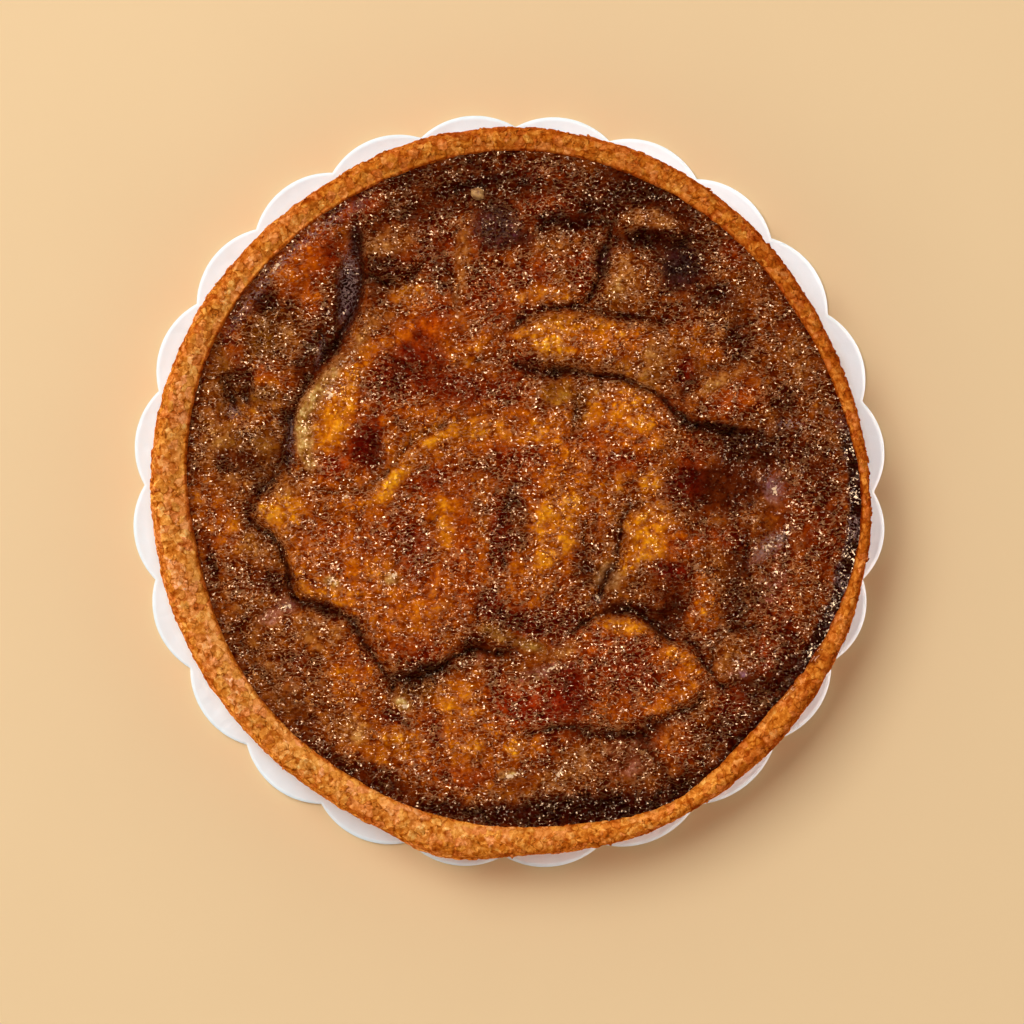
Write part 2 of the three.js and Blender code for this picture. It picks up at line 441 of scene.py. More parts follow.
CREASES = rows(
    Crease,
    (((-90, -4), (-86, -12), (-80, -18), (-76, -26), (-73, -35), (-66, -38.5), (-57, -42.5),
      (-50, -51), (-43, -61), (-40.5, -66), (-42, -73)), 2.7, 2.0, 1.2),
    (((-42, -61.5), (-35, -63.5), (-26, -61), (-20, -55.5), (-12, -53), (-4, -54.5),
      (4, -55)), 2.3, 1.8, 1.0),
    (((-53, 91), (-52, 82), (-51.5, 72), (-53.5, 62), (-58.5, 51), (-64.5, 42.5), (-70.5, 33.5),
      (-74, 24), (-75, 10)), 2.5, 2.0, 1.5),
    (((-75, 10), (-80, 3), (-88, -3)), 1.3, 1.6, 0.6),
    (((-53, 75), (-48, 72), (-42, 70.5), (-37, 71.5), (-30, 78)), 1.6, 1.5, 0.9),
    (((33, 90), (31, 82), (29.5, 74), (27, 67), (23, 62.5)), 2.0, 1.6, 0.5),
    (((50, 57), (40, 58.5), (30, 61), (22, 62.5), (12, 61), (4, 57.5), (-3, 53)), 1.5, 1.6, 0.9),
    (((-3, 44), (6, 41.5), (20, 40.5), (30, 39), (42, 36), (50, 32), (58, 25.5), (67, 20.5),
      (82, 19.5)), 2.1, 1.9, 1.0),
    (((23, 39), (22, 32), (20.5, 24), (19, 17)), 1.2, 1.7, -0.4),
    (((32, 86), (40, 85), (48, 83.5), (60, 82)), 2.0, 2.2, 1.0),
    (((45, -4), (40, -6.5), (37, -12), (34.5, -22), (31, -32), (28, -39)), 2.1, 1.7, 0.9),
    (((24, -9), (23.5, -16), (24.5, -22), (28, -28)), 1.2, 1.5, 0.4),
    (((18, -50.5), (24, -45.5), (32, -41.5), (39, -40.5), (46, -46), (52, -50), (59, -51),
      (63, -58), (69, -67)), 2.0, 1.7, -1.1),
    (((85, -47), (77, -46.5), (70, -50), (66.5, -57), (68, -64), (75, -69)), 1.4, 1.4, 0.7),
    (((1, -82), (12, -80), (24, -79.5), (38, -80.7), (48, -78), (58, -73), (67, -67.5)), 1.7, 1.9, 0.9),
    (((36, -81), (43, -83.5), (48, -89), (52, -100)), 1.3, 1.5, 0.5),
    (((-43, -74), (-39, -77), (-34, -80)), 1.1, 1.2, 0.4),
    (((-94, -49), (-88, -55), (-83, -62), (-77, -72)), 1.2, 1.6, 0.5),
    (((-68, 0), (-58, -1), (-50, 0), (-44, 5), (-38, 12), (-30, 18.5), (-18, 23.5),
      (-4, 26)), 1.1, 2.0, -1.0),
    (((-99, 39), (-96, 33), (-93, 27), (-89, 24)), 1.5, 1.5, 0.0),
    (((-89, 40), (-90, 33), (-88, 29), (-78, 26.5), (-71, 28)), 1.3, 1.3, 0.5),
    (((-66, 54), (-64.5, 47), (-66, 41)), 1.4, 1.2, -0.7),
    (((56, 31), (61, 37), (68, 41.5), (77, 44), (84, 42)), 1.1, 1.5, -0.9),
    (((-1, -3), (-3.5, -11), (-5, -19), (-2, -27)), 1.0, 1.6, 0.5),
    (((-10, -31), (-13, -39), (-12, -47)), 0.9, 1.6, -0.4),
    (((-41, 46), (-34, 42), (-22, 42), (-8, 46)), 0.8, 1.8, 0.6),
    (((-24, -8), (-30, -17), (-38, -24), (-42, -33)), 0.6, 1.6, 0.4),
    (((-18, 90), (-20, 80), (-21, 70), (-18, 60)), 0.8, 1.5, 0.4),
    (((78, 62), (74, 56), (72, 49)), 0.9, 1.5, -0.4),
    (((86, 30), (90, 24), (88, 15)), 1.0, 1.6, 0.4),
    (((80, -12), (79, -24), (83, -36), (90, -42)), 1.2, 1.6, 0.5),
    (((60, -22), (60, -34), (57, -44)), 1.0, 1.6, 0.4),
)


class Tone(Enum):
    """The colours that the skin has baked to, as display colours; the ochre and milky ones also paint
    highlights and sheen.
    """

    GOLD = (206, 106, 13)
    AMBER = (176, 81, 6)
    ORANGE = (166, 68, 3)
    EMBER = (146, 42, 2)
    RUST = (138, 50, 4)
    RED = (100, 20, 2)
    BROWN = (126, 58, 8)
    TAN = (168, 92, 30)
    OLIVE = (122, 66, 12)
    UMBER = (80, 31, 4)
    DARK = (56, 13, 2)
    BURNT = (48, 22, 18)
    OCHRE_HIGHLIGHT = (204, 136, 66)
    CREAM = (172, 112, 40)
    MILKY_SHEEN = (168, 112, 84)
    PLUM = (44, 14, 14)

    def light(self) -> Triple:
        """The tone as linear red, green and blue."""
        return linear(*self.value)


@dataclass(frozen=True)
class Patch(Oval):
    """An oval where some quality of the skin shows, and how strongly."""

    strength: float


@dataclass(frozen=True)
class Stain(Oval):
    """An oval of one baked tone, laid over what is under it."""

    tone: Tone
    strength: float


def strongest(patches: tuple[Patch, ...], x: Array, y: Array) -> Array:
    """The strongest of some patches at each place.

    Args:
        patches: The patches.
        x: Places' x.
        y: Places' y.

    Returns:
        Numbers from 0 to 1.
    """
    found = np.zeros_like(x)
    for patch in patches:
        found = np.maximum(found, patch.strength * patch.cover(x, y))
    return found


T = Tone
# Some stains are painted light: the ochre and milky ovals paint highlights and sheen, and thin dark ovals
# along creases paint their shade.
STAINS = rows(
    Stain,
    # Broad grounds.
    (-72, 68, 66, 34, 48, T.BROWN, 0.9),
    (-90, 22, 76, 32, 90, T.OLIVE, 0.9),
    (-30, 92, 74, 30, 18, T.UMBER, 0.8),
    (-12, 72, 60, 40, 0, T.RUST, 0.8),
    (-40, 28, 74, 50, 60, T.AMBER, 0.9),
    (-8, 24, 50, 34, 0, T.AMBER, 0.8),
    (22, 102, 74, 20, -8, T.DARK, 0.6),
    (10, 78, 50, 28, 0, T.BROWN, 0.85),
    (56, 88, 60, 24, -40, T.DARK, 0.7),
    (88, 52, 90, 34, 115, T.BROWN, 0.85),
    (62, 52, 40, 26, -10, T.BROWN, 0.7),
    (94, 10, 60, 32, 90, T.BROWN, 0.7),
    (20, 14, 60, 46, 0, T.AMBER, 0.95),
    (-92, -26, 76, 30, -76, T.BROWN, 0.9),
    (-96, -14, 20, 20, 0, T.AMBER, 0.6),
    (-70, -60, 72, 38, -48, T.BROWN, 0.95),
    (-83, -62, 22, 16, -50, T.TAN, 0.5),
    (-42, -24, 76, 68, -20, T.AMBER, 1.0),
    (6, -24, 40, 52, 0, T.AMBER, 0.8),
    (-16, -84, 100, 34, 4, T.AMBER, 0.8),
    (40, -62, 56, 36, -6, T.RUST, 0.8),
    (97, -28, 80, 28, 78, T.RUST, 0.7),
    (84, -66, 56, 22, 50, T.DARK, 0.75),
    (34, -92, 60, 24, 10, T.BROWN, 0.8),
    # Back left.
    (-28, 107, 60, 8, 16, T.UMBER, 0.8),
    (-14, 103.5, 32, 6, 12, T.DARK, 1.0),
    (-52, 96, 22, 9, 38, T.RUST, 0.8),
    (-53, 97, 4, 4, 0, T.MILKY_SHEEN, 0.23),
    (-69, 79, 32, 17, 52, T.ORANGE, 0.85),
    (-63, 83, 8, 18, 0, T.RUST, 0.7),
    (-83, 63, 14, 11, 20, T.DARK, 0.95),
    (-76, 66, 7, 8, 0, T.RUST, 0.6),
    (-69, 62, 9, 14, 10, T.ORANGE, 0.9),
    (-64, 56, 9, 18, -20, T.UMBER, 0.8),
    (-73, 60, 9, 10, 0, T.UMBER, 0.6),
    (-82, 52, 20, 16, 30, T.OLIVE, 0.9),
    (-75, 50, 7, 14, -20, T.TAN, 0.6),
    (-95, 50, 8, 24, 15, T.RUST, 0.6),
    (-84, 40, 13, 9, 20, T.AMBER, 0.85),
    (-77, 36, 10, 8, 0, T.AMBER, 0.85),
    (-71, 44, 6, 20, -20, T.UMBER, 0.9),
    (-92, 37, 9, 12, 0, T.UMBER, 0.6),
    (-88, 26, 20, 9, 10, T.AMBER, 0.6),
    (-101, 27, 9, 22, 6, T.TAN, 0.6),
    (-94, 10, 28, 10, 0, T.UMBER, 0.95),
    (-76, 18, 6, 24, 0, T.UMBER, 0.9),
    (-104, 8, 6, 20, 0, T.TAN, 0.6),
    (-56.5, 69, 8.0, 26, -6, T.BURNT, 1.0),
    (-53, 86, 4, 14, 0, T.BURNT, 0.9),
    (-61.5, 49, 6, 14, -35, T.DARK, 0.8),
    (-42, 84, 17, 9, 20, T.TAN, 0.75),
    (-44, 73, 24, 13, 0, T.DARK, 0.75),
    (-25, 74, 7, 20, 0, T.UMBER, 0.85),
    (-18, 74, 6, 30, -4, T.TAN, 0.85),
    (-6, 89, 15, 17, 10, T.BURNT, 0.75),
    (-17, 90, 8, 14, 0, T.BROWN, 0.7),
    (-7, 68, 22, 12, 0, T.RUST, 0.7),
    (-36, 66, 14, 10, 0, T.GOLD, 0.7),
    (-44, 59, 15, 7, 40, T.TAN, 0.7),
    (-31, 53, 22, 12, 30, T.ORANGE, 0.9),
    (-27, 62, 12, 7, 0, T.RUST, 0.7),
    (-16, 48, 11, 10, 0, T.AMBER, 0.9),
    (-28, 45, 18, 8, 0, T.RUST, 0.8),
    (-38, 41, 32, 15, 26, T.RED, 0.9),
    (-38, 39, 8, 7, 0, T.DARK, 0.5),
    (-20, 35, 36, 13, 0, T.RED, 0.8),
    (-4, 34, 12, 10, 0, T.RED, 0.7),
    (-60, 32, 12, 34, -28, T.GOLD, 0.7),
    (-64.5, 35, 6, 30, -33, T.OCHRE_HIGHLIGHT, 0.75),
    (-50, 53, 22, 4, 44, T.TAN, 0.7),
    (-70, 18, 5, 26, 4, T.OCHRE_HIGHLIGHT, 0.7),
    (-61, 20, 10, 20, 0, T.GOLD, 0.6),
    (-48, 29, 13, 8, 30, T.AMBER, 0.8),
    (-50, 15, 13, 20, -20, T.RED, 1.0),
    (-47, 13, 7, 14, -10, T.DARK, 0.6),
    (-61, 8, 10, 9, 0, T.EMBER, 0.8),
    (-37, 22, 8, 6, 0, T.BROWN, 0.7),
    (-20, 20, 36, 8, 10, T.GOLD, 0.85),
    (-3, 14, 16, 11, 0, T.RUST, 0.75),
    (-27, 4, 22, 12, 0, T.RUST, 0.9),
    (-39, -13, 16, 11, 0, T.RUST, 0.7),
    (-12, 8, 14, 10, 0, T.BROWN, 0.6),
    (-41, 3, 18, 7, 40, T.GOLD, 0.95),
    (-77, 1, 12, 8, 0, T.TAN, 0.7),
    # Back right.
    (8, 108, 24, 8, -4, T.RUST, 0.35),
    (12, 96, 20, 9, 0, T.RUST, 0.6),
    (13, 90, 14, 9, 0, T.DARK, 0.8),
    (22, 90, 26, 6, 0, T.DARK, 0.9),
    (30, 95, 16, 8, -10, T.DARK, 0.85),
    (46, 91, 20, 6, -4, T.TAN, 0.8),
    (48, 85, 26, 7, 4, T.DARK, 1.0),
    (56, 75, 15, 17, -10, T.BURNT, 0.9),
    (60, 75, 7, 14, 0, T.DARK, 0.7),
    (67, 66, 18, 10, 0, T.DARK, 0.85),
    (74, 79, 10, 12, 30, T.RUST, 0.6),
    (3, 85, 11, 7, 0, T.BURNT, 0.7),
    (15, 84, 13, 9, 10, T.TAN, 0.7),
    (14, 74, 28, 12, 0, T.RUST, 0.8),
    (16, 73, 6, 7, 0, T.TAN, 0.7),
    (9, 66, 22, 7, 0, T.GOLD, 0.7),
    (23, 74, 7, 18, -6, T.RUST, 0.85),
    (30, 77, 5, 15, -8, T.BURNT, 0.95),
    (37, 72, 10, 18, 0, T.TAN, 0.75),
    (46, 68, 9, 14, 0, T.BROWN, 0.8),
    (39, 58.5, 24, 4, -8, T.UMBER, 0.9),
    (8, 57.5, 18, 4, 8, T.UMBER, 0.8),
    (12, 52, 22, 14, 12, T.GOLD, 1.0),
    (32, 51, 30, 13, -6, T.AMBER, 0.9),
    (47, 44, 9, 17, -10, T.TAN, 0.95),
    (60, 53, 13, 10, 0, T.AMBER, 0.4),
    (67, 46, 10, 7, 0, T.AMBER, 0.7),
    (75, 52, 10, 18, 0, T.UMBER, 0.85),
    (95, 45, 7, 16, 10, T.TAN, 0.5),
    (57, 40, 7, 11, 0, T.RED, 0.9),
    (73, 31, 22, 14, 24, T.ORANGE, 0.85),
    (69, 37, 18, 5, 30, T.TAN, 0.95),
    (91, 31, 12, 12, 0, T.UMBER, 0.8),
    (90, 15, 22, 16, 0, T.UMBER, 0.8),
    (68, 21.5, 28, 5, -12, T.DARK, 1.0),
    (50, 28, 10, 12, 0, T.RUST, 0.8),
    (60, 12, 14, 13, 0, T.RUST, 0.85),
    (78, 13, 16, 14, 0, T.DARK, 0.9),
    (70, 1, 36, 15, 0, T.UMBER, 1.0),
    (57, 2, 14, 14, 0, T.RED, 0.8),
    (38, 24, 24, 22, 60, T.GOLD, 0.85),
    (1, 38, 18, 24, 0, T.RUST, 0.5),
    (28, 35, 7, 5, 0, T.TAN, 0.7),
    (14, 33, 14, 10, 0, T.OLIVE, 0.8),
    (23, 27, 6, 13, 0, T.OLIVE, 0.85),
    (2, 22, 12, 14, 0, T.GOLD, 0.8),
    (6, 12, 12, 8, 0, T.RUST, 0.8),
    (17, 14, 14, 20, 0, T.AMBER, 0.8),
    (37, 9, 20, 7, 0, T.RUST, 0.85),
    (45, 3, 9, 10, 0, T.GOLD, 0.7),
    (4, 44, 12, 8, 0, T.RED, 0.6),
    (88, 1, 6, 10, -10, T.MILKY_SHEEN, 0.27),
    (104, 4, 12, 30, 0, T.DARK, 0.6),
    # Front left.
    (-96, 1, 16, 8, 0, T.TAN, 0.6),
    (-97, -14, 10, 10, 0, T.AMBER, 0.7),
    (-88.5, -5, 6, 22, -8, T.UMBER, 0.85),
    (-77, -6, 16, 9, 0, T.GOLD, 1.0),
    (-82, -14, 10, 7, 0, T.AMBER, 0.8),
    (-88, -28, 24, 18, -65, T.BROWN, 0.9),
    (-81, -31, 12, 8, -50, T.UMBER, 0.8),
    (-104, -8, 12, 26, 0, T.AMBER, 0.7),
    (-102, -24, 4, 20, 13, T.DARK, 0.8),
    (-91, -44, 14, 18, -50, T.TAN, 0.5),
    (-84, -20, 14, 14, 0, T.TAN, 0.5),
    (-77, -39, 9, 5, 10, T.MILKY_SHEEN, 0.36),
    (-83, -43, 7, 5, 0, T.MILKY_SHEEN, 0.27),
    (-92, -46, 9, 12, -50, T.UMBER, 0.6),
    (-66, -48, 20, 12, -30, T.TAN, 0.75),
    (-54, -62, 22, 20, -45, T.AMBER, 0.95),
    (-73, -75, 16, 9, -45, T.UMBER, 0.7),
    (-62, -15, 9, 10, 0, T.RUST, 0.8),
    (-61.5, -30.5, 5, 4, 0, T.OCHRE_HIGHLIGHT, 1.0),
    (-41, -29, 7, 5, 0, T.OCHRE_HIGHLIGHT, 0.8),
    (-59, -35, 18, 6, -12, T.GOLD, 0.7),
    (-43, -24, 14, 10, 20, T.GOLD, 0.5),
    (-33, -21, 11, 22, 0, T.RUST, 0.85),
    (-22.5, -10, 8, 26, 0, T.GOLD, 0.6),
    (-17, -22, 11, 44, 4, T.ORANGE, 0.7),
    (-36, -54, 24, 11, 0, T.RUST, 0.85),
    (-5, -16, 10, 26, 0, T.RED, 0.9),
    (-8, -38, 11, 13, 0, T.RED, 0.9),
    (3, -43, 16, 8, 0, T.RED, 0.7),
    (-6, -48, 12, 5, -25, T.CREAM, 0.85),
    (-30, -61, 25, 6, 8, T.DARK, 1.0),
    (-31, -66.5, 20, 8, 8, T.OLIVE, 1.0),
    (-37, -72.5, 7, 4, -15, T.OCHRE_HIGHLIGHT, 0.9),
    (-18, -68, 20, 16, 40, T.GOLD, 0.8),
    (-15, -58, 9, 3.5, 35, T.MILKY_SHEEN, 0.27),
    (-14, -51, 12, 8, 30, T.DARK, 0.8),
    (-6, -66, 14, 14, 0, T.RUST, 0.7),
    (-27, -80, 8, 13, 0, T.RED, 0.75),
    (-40, -77, 12, 5, -20, T.RED, 0.7),
    (-56, -80, 17, 10, -20, T.TAN, 0.8),
    (-40, -86, 20, 11, 10, T.GOLD, 0.5),
    (-62, -90, 28, 7, -40, T.DARK, 0.7),
    (-45, -97, 28, 9, -24, T.DARK, 0.8),
    (-18, -96, 24, 8, 0, T.RUST, 0.8),
    (-2, -96, 7, 3.5, 20, T.OCHRE_HIGHLIGHT, 0.8),
    (-8, -108.5, 50, 7, -4, T.DARK, 0.9),
    # Front right.
    (14, -12, 14, 32, -10, T.GOLD, 0.9),
    (1, -10, 8, 22, 8, T.UMBER, 0.8),
    (14, -44, 28, 9, 0, T.RED, 0.75),
    (24, -27, 8, 13, 0, T.UMBER, 0.85),
    (32, -29, 8, 10, 0, T.OCHRE_HIGHLIGHT, 0.45),
    (46, -14, 25, 18, -50, T.GOLD, 1.0),
    (38, -21, 13, 17, 0, T.GOLD, 0.9),
    (56, -18, 12, 12, 0, T.ORANGE, 0.8),
    (54, -27, 17, 8, 0, T.RED, 1.0),
    (41, -33, 12, 11, 0, T.BROWN, 0.8),
    (38, -39.5, 20, 4, -4, T.UMBER, 0.9),
    (52, -41, 12, 19, -15, T.UMBER, 1.0),
    (63, -38, 10, 25, 6, T.AMBER, 0.85),
    (75, -34, 11, 36, 0, T.UMBER, 0.95),
    (70, -16, 20, 8, 0, T.RUST, 0.8),
    (87, -19, 15, 4, 38, T.MILKY_SHEEN, 0.45),
    (87, -32, 12, 17, -30, T.MILKY_SHEEN, 0.2),
    (98, -28, 14, 42, 8, T.BROWN, 0.7),
    (36, -45, 20, 6, -8, T.GOLD, 0.85),
    (29, -52, 12, 12, 0, T.ORANGE, 0.8),
    (5, -52, 14, 4, -10, T.CREAM, 0.7),
    (16, -54, 12, 4, 25, T.TAN, 0.8),
    (10, -61, 22, 4, 15, T.MILKY_SHEEN, 0.27),
    (19, -68, 14, 20, 20, T.RED, 0.95),
    (7, -73, 28, 15, 0, T.EMBER, 0.8),
    (40, -60, 26, 18, -10, T.RUST, 0.85),
    (54, -60, 16, 22, 10, T.AMBER, 0.95),
    (42, -73, 38, 9, 6, T.AMBER, 0.95),
    (72, -56, 13, 15, 0, T.TAN, 0.8),
    (76, -62, 8, 5, 0, T.MILKY_SHEEN, 0.27),
    (84, -56, 14, 12, 0, T.RUST, 0.8),
    (64, -71.5, 11, 4, 55, T.TAN, 0.9),
    (73, -73, 17, 14, -50, T.RUST, 0.8),
    (54, -84, 13, 19, 10, T.ORANGE, 0.85),
    (53, -82, 8, 10, 0, T.TAN, 0.5),
    (34, -82, 24, 4, 0, T.DARK, 0.9),
    (18, -93, 26, 10, 28, T.TAN, 0.7),
    (38, -90, 20, 13, 0, T.MILKY_SHEEN, 0.16),
    (3, -85, 15, 10, 0, T.GOLD, 0.8),
    (56, -98, 16, 8, 30, T.DARK, 0.8),
    (28, -107, 80, 12, 4, T.DARK, 1.0),
)

# Which sides of the crust have baked browner, or paler where the last number is negative.
TOASTS = rows(
    Swell,
    (60, 50, 0.2),
    (5, 40, 0.32),
    (108, 30, 0.06),
    (200, 50, -0.2),
    (255, 26, -0.05),
    (308, 26, 0.1),
)

# Small cracks across the crust's rim.
SCARS = rows(
    Patch,
    (85.5, -86.0, 9.0, 1.1, -42, 1.0),
    (60.0, -107.0, 8.0, 1.1, -64, 1.0),
    (-70.5, 97.5, 4.0, 1.4, 45, 1.0),
    (-66.0, 99.8, 2.6, 1.2, -40, 1.0),
)

# Painted highlights: pale spots where the folds catch the light.
HIGHLIGHT_SPOTS = rows(
    Oval,
    (-61.5, -30.5, 4.5, 3.0, 0),
    (-62, 32.5, 6.0, 3.0, 50),
    (-41, -28, 4.0, 3.0, 0),
    (-37, -72.5, 6.0, 2.5, -20),
    (-77, -39, 5.0, 2.5, 20),
    (-1, -96, 7.0, 2.5, 20),
    (15, -95.5, 6.0, 3.0, 40),
    (12, -60, 9.0, 2.5, 25),
    (-17, -58, 5.0, 2.0, 30),
    (85.5, -19, 7.0, 3.0, 50),
    (87.5, 1, 8.0, 2.5, 95),
    (28, -36, 3.0, 3.0, 0),
    (-80, 76, 7.0, 2.0, 55),
    (-55, 46, 6.0, 2.0, 45),
    (-57, -2, 7.0, 2.0, 20),
)

# How much darker than its tones each part of the skin is made.
TONE_SHIFTS = rows(
    Patch,
    (0, 105, 16, 12, 0, 0.2),
    (15, 91, 18, 14, 20, 0.26),
    (-60, 75, 16, 14, 40, 0.15),
    (-14, 76, 14, 12, 0, 0.1),
    (-45, 60, 16, 14, 30, 0.15),
    (-60, 45, 16, 16, 60, 0.19),
    (-90, 45, 12, 16, 10, 0.14),
    (0, 45, 20, 14, 15, 0.17),
    (-75, 30, 12, 14, 0, 0.12),
    (-45, 30, 18, 16, 40, 0.21),
    (0, 28, 14, 14, 0, 0.12),
    (32, 15, 26, 15, -10, 0.22),
    (0, 4, 16, 22, 10, 0.22),
    (-30, 0, 16, 15, 0, 0.15),
    (60, 0, 17, 17, 0, 0.25),
    (75, -15, 12, 15, 0, 0.14),
    (105, -15, 12, 18, -10, 0.16),
    (-34, -20, 40, 26, -20, 0.12),
    (-90, -30, 13, 14, 0, 0.12),
    (60, -30, 14, 14, 0, 0.1),
    (0, -46, 17, 15, -15, 0.25),
    (-75, -60, 15, 14, 0, 0.14),
    (-30, -60, 17, 15, -20, 0.18),
    (42, -61, 26, 14, -25, 0.21),
    (14, -76, 42, 17, 5, 0.22),
    (75, -75, 16, 15, 45, 0.2),
    (10, -91, 24, 12, 5, 0.12),
    # Lighter than its tones.
    (-75, 75, 14, 14, 45, -0.14),
    (-15, 90, 13, 13, 0, -0.12),
    (30, 67, 14, 28, 0, -0.15),
    (75, 60, 14, 14, 0, -0.12),
    (60, 45, 17, 15, 0, -0.19),
    (15, 45, 12, 13, 0, -0.15),
    (-90, 30, 12, 13, 0, -0.12),
    (105, 15, 10, 16, 0, -0.15),
    (-90, -14, 20, 15, 0, -0.18),
    (-75, -30, 14, 15, 30, -0.21),
    (30, -30, 13, 13, 0, -0.12),
    (75, -30, 13, 15, 0, -0.14),
    (-75, -75, 14, 13, -45, -0.14),
    (-15, -90, 13, 13, 0, -0.13),
    (0, -104, 14, 10, 0, -0.14),
)

# Where the skin is slick with syrup, where grey sheen is painted in streaks on it, and where
# it is smooth rather than grainy.
SLICKS = rows(
    Patch,
    (-56.5, 69, 8, 26, -6, 0.7),
    (-62, 33, 5, 14, -40, 0.9),
    (-70, 16, 4, 20, 0, 0.6),
    (-66, 46, 2.5, 10, -12, 0.8),
    (-92, 28, 14, 8, -60, 0.9),
    (-44, -30, 60, 40, 0, 0.25),
    (88, -14, 18, 36, -12, 0.95),
    (84, 8, 24, 26, 0, 0.4),
    (80, -58, 26, 18, 0, 0.4),
    (10, -54, 24, 7, 6, 0.6),
    (-35, -70, 14, 9, -20, 0.7),
    (-77, -42, 16, 9, 10, 0.6),
)
PAINTED_SHEENS = rows(
    Patch,
    (-56.5, 70, 6, 26, -4, 1.0),
    (-66, 46, 2, 10, -12, 0.8),
    (-94.5, 27, 4, 5, 30, 0.8),
    (-75, 17, 3, 14, 0, 0.7),
    (88, 1, 7, 10, 10, 0.7),
    (87, -18, 5, 16, -52, 1.0),
    (93, 22.5, 10, 2.5, 5, 0.9),
    (56, 76, 14, 16, -20, 0.1),
    (-7, 89, 18, 12, 0, 0.2),
    (-62, 33, 4, 6, -40, 0.9),
    (-77, -39, 7, 3, 10, 0.6),
    (28, -36, 3, 3, 0, 0.8),
)
CALMS = rows(
    Patch,
    (-31, 52, 30, 14, 25, 0.85),
    (-68, 76, 30, 12, 48, 0.6),
    (72, 3, 36, 16, -4, 0.85),
    (-56, 70, 9, 40, -3, 0.8),
    (-60, 22, 12, 22, 10, 0.6),
    (-20, -8, 16, 24, 0, 0.6),
    (-30, -38, 26, 22, 30, 0.5),
    (-48, -22, 20, 12, 0, 0.4),
    (88, -4, 12, 20, 0, 0.9),
    (47, -18, 24, 14, -40, 0.5),
    (10, -54, 24, 7, 6, 0.7),
    (19, -70, 16, 18, 0, 0.6),
    (52, -36, 16, 22, 0, 0.6),
    (-50, 13, 18, 20, 0, 0.5),
    (-22, 38, 36, 12, 0, 0.5),
)


@dataclass(frozen=True)
class TartForm:
    """The measures that the crust and its filling share, in millimetres."""

    offset: float = 1.8
    crust_radius: float = 123.0
    crust_height: float = 27.0
    rim_wave: float = 0.5
    filling_radius: float = 113.6
    filling_level: float = 22.8
    filling_crown: float = 1.3
    edge_calm: float = 9.0
    edge_pull: float = 30.0
    crust_floor: float = 4.0

    def outline(self, bearing: Array) -> Array:
        """The crust's widest radius at each bearing."""
        return self.crust_radius + sum(swell.reach(bearing) for swell in OUTLINE_SWELLS)

    def rim(self, bearing: Array) -> Array:
        """The radius at which the filling meets the crust."""
        return self.filling_radius + sum(swell.reach(bearing) for swell in RIM_SWELLS)

    def edge_level(self, bearing: Array) -> Array:
        """The filling's level where it meets the crust, above the crust's underside."""
        return self.filling_level + sum(swell.reach(bearing) for swell in EDGE_SWELLS)

    def crest(self, bearing: Array) -> Array:
        """The height of the rim's crest above the crust's underside."""
        wave = np.sin(2 * bearing + 0.8) + 0.6 * np.sin(5 * bearing) + 0.5 * np.sin(9 * bearing + 2)
        return self.crust_height + self.rim_wave * wave


# ---------------------------------------------------------------------------------------
# Meshes and node trees
# ---------------------------------------------------------------------------------------


def make_mesh(name: str, points: Array, faces: list[Array], material: bpy.types.Material) -> bpy.types.Object:
    """Makes one smooth-shaded object from points in metres and blocks of faces.

    Args:
        name: The object's name.
        points: The corner points, one row each.
        faces: Blocks of faces, each with a row of corner numbers for every face.
        material: What the object is dressed with.

    Returns:
        The object, linked to the scene.
    """
    corners = np.concatenate([block.ravel() for block in faces])
    sizes = np.concatenate([np.full(len(block), block.shape[1]) for block in faces])
    mesh = bpy.data.meshes.new(name)
    mesh.vertices.add(len(points))
    mesh.vertices.foreach_set("co", points.astype(np.float32).ravel())
    mesh.loops.add(len(corners))
    mesh.loops.foreach_set("vertex_index", corners.astype(np.int32))
    mesh.polygons.add(len(sizes))
    mesh.polygons.foreach_set("loop_start", (np.cumsum(sizes) - sizes).astype(np.int32))
    mesh.polygons.foreach_set("loop_total", sizes.astype(np.int32))
    mesh.polygons.foreach_set("use_smooth", np.ones(len(sizes), bool))
    mesh.update(calc_edges=True)
    mesh.validate()
    mesh.materials.append(material)
    made = bpy.data.objects.new(name, mesh)
    bpy.context.scene.collection.objects.link(made)
    return made


def store(made: bpy.types.Object, name: str, values: Array) -> None:
    """Keeps one number, or one colour, for each point of an object's mesh.

    Args:
        made: The object.
        name: The attribute's name, which materials and scatters read.
        values: A number for each point, or a row of red, green and blue.
    """
    if values.ndim == 1:
        attribute = made.data.attributes.new(name, "FLOAT", "POINT")
        attribute.data.foreach_set("value", values.astype(np.float32))
        return
    opaque = np.hstack([values, np.ones((len(values), 1))])
    attribute = made.data.attributes.new(name, "FLOAT_COLOR", "POINT")
    attribute.data.foreach_set("color", opaque.astype(np.float32).ravel())


def fan_faces(hub: int, ring: Array, flip: bool = False) -> Array:
    """Triangles from a hub point to a closed ring of points.

    Args:
        hub: The hub's number.
        ring: The ring's numbers, in order.
        flip: Turns the faces over.

    Returns:
        One row of three corner numbers for each triangle.
    """
    after = np.roll(ring, -1)
    first, second = (after, ring) if flip else (ring, after)
    return np.stack([np.full(len(ring), hub), first, second], -1)


def shell_faces(rows: int, steps: int) -> list[Array]:
    """Faces of a closed shell: rings of points in order, then a hub for its foot and its top.

    Args:
        rows: How many rings there are.
        steps: How many points are in each ring.

    Returns:
        Blocks of faces, each with a row of corner numbers for every face.
    """
    row, step = np.meshgrid(np.arange(rows - 1), np.arange(steps), indexing="ij")
    after = (step + 1) % steps
    here, above = row * steps, (row + 1) * steps
    rings = np.stack([here + step, here + after, above + after, above + step], -1).reshape(-1, 4)
    ring, count = np.arange(steps), rows * steps
    return [rings, fan_faces(count, ring, flip=True), fan_faces(count + 1, ring + count - steps)]


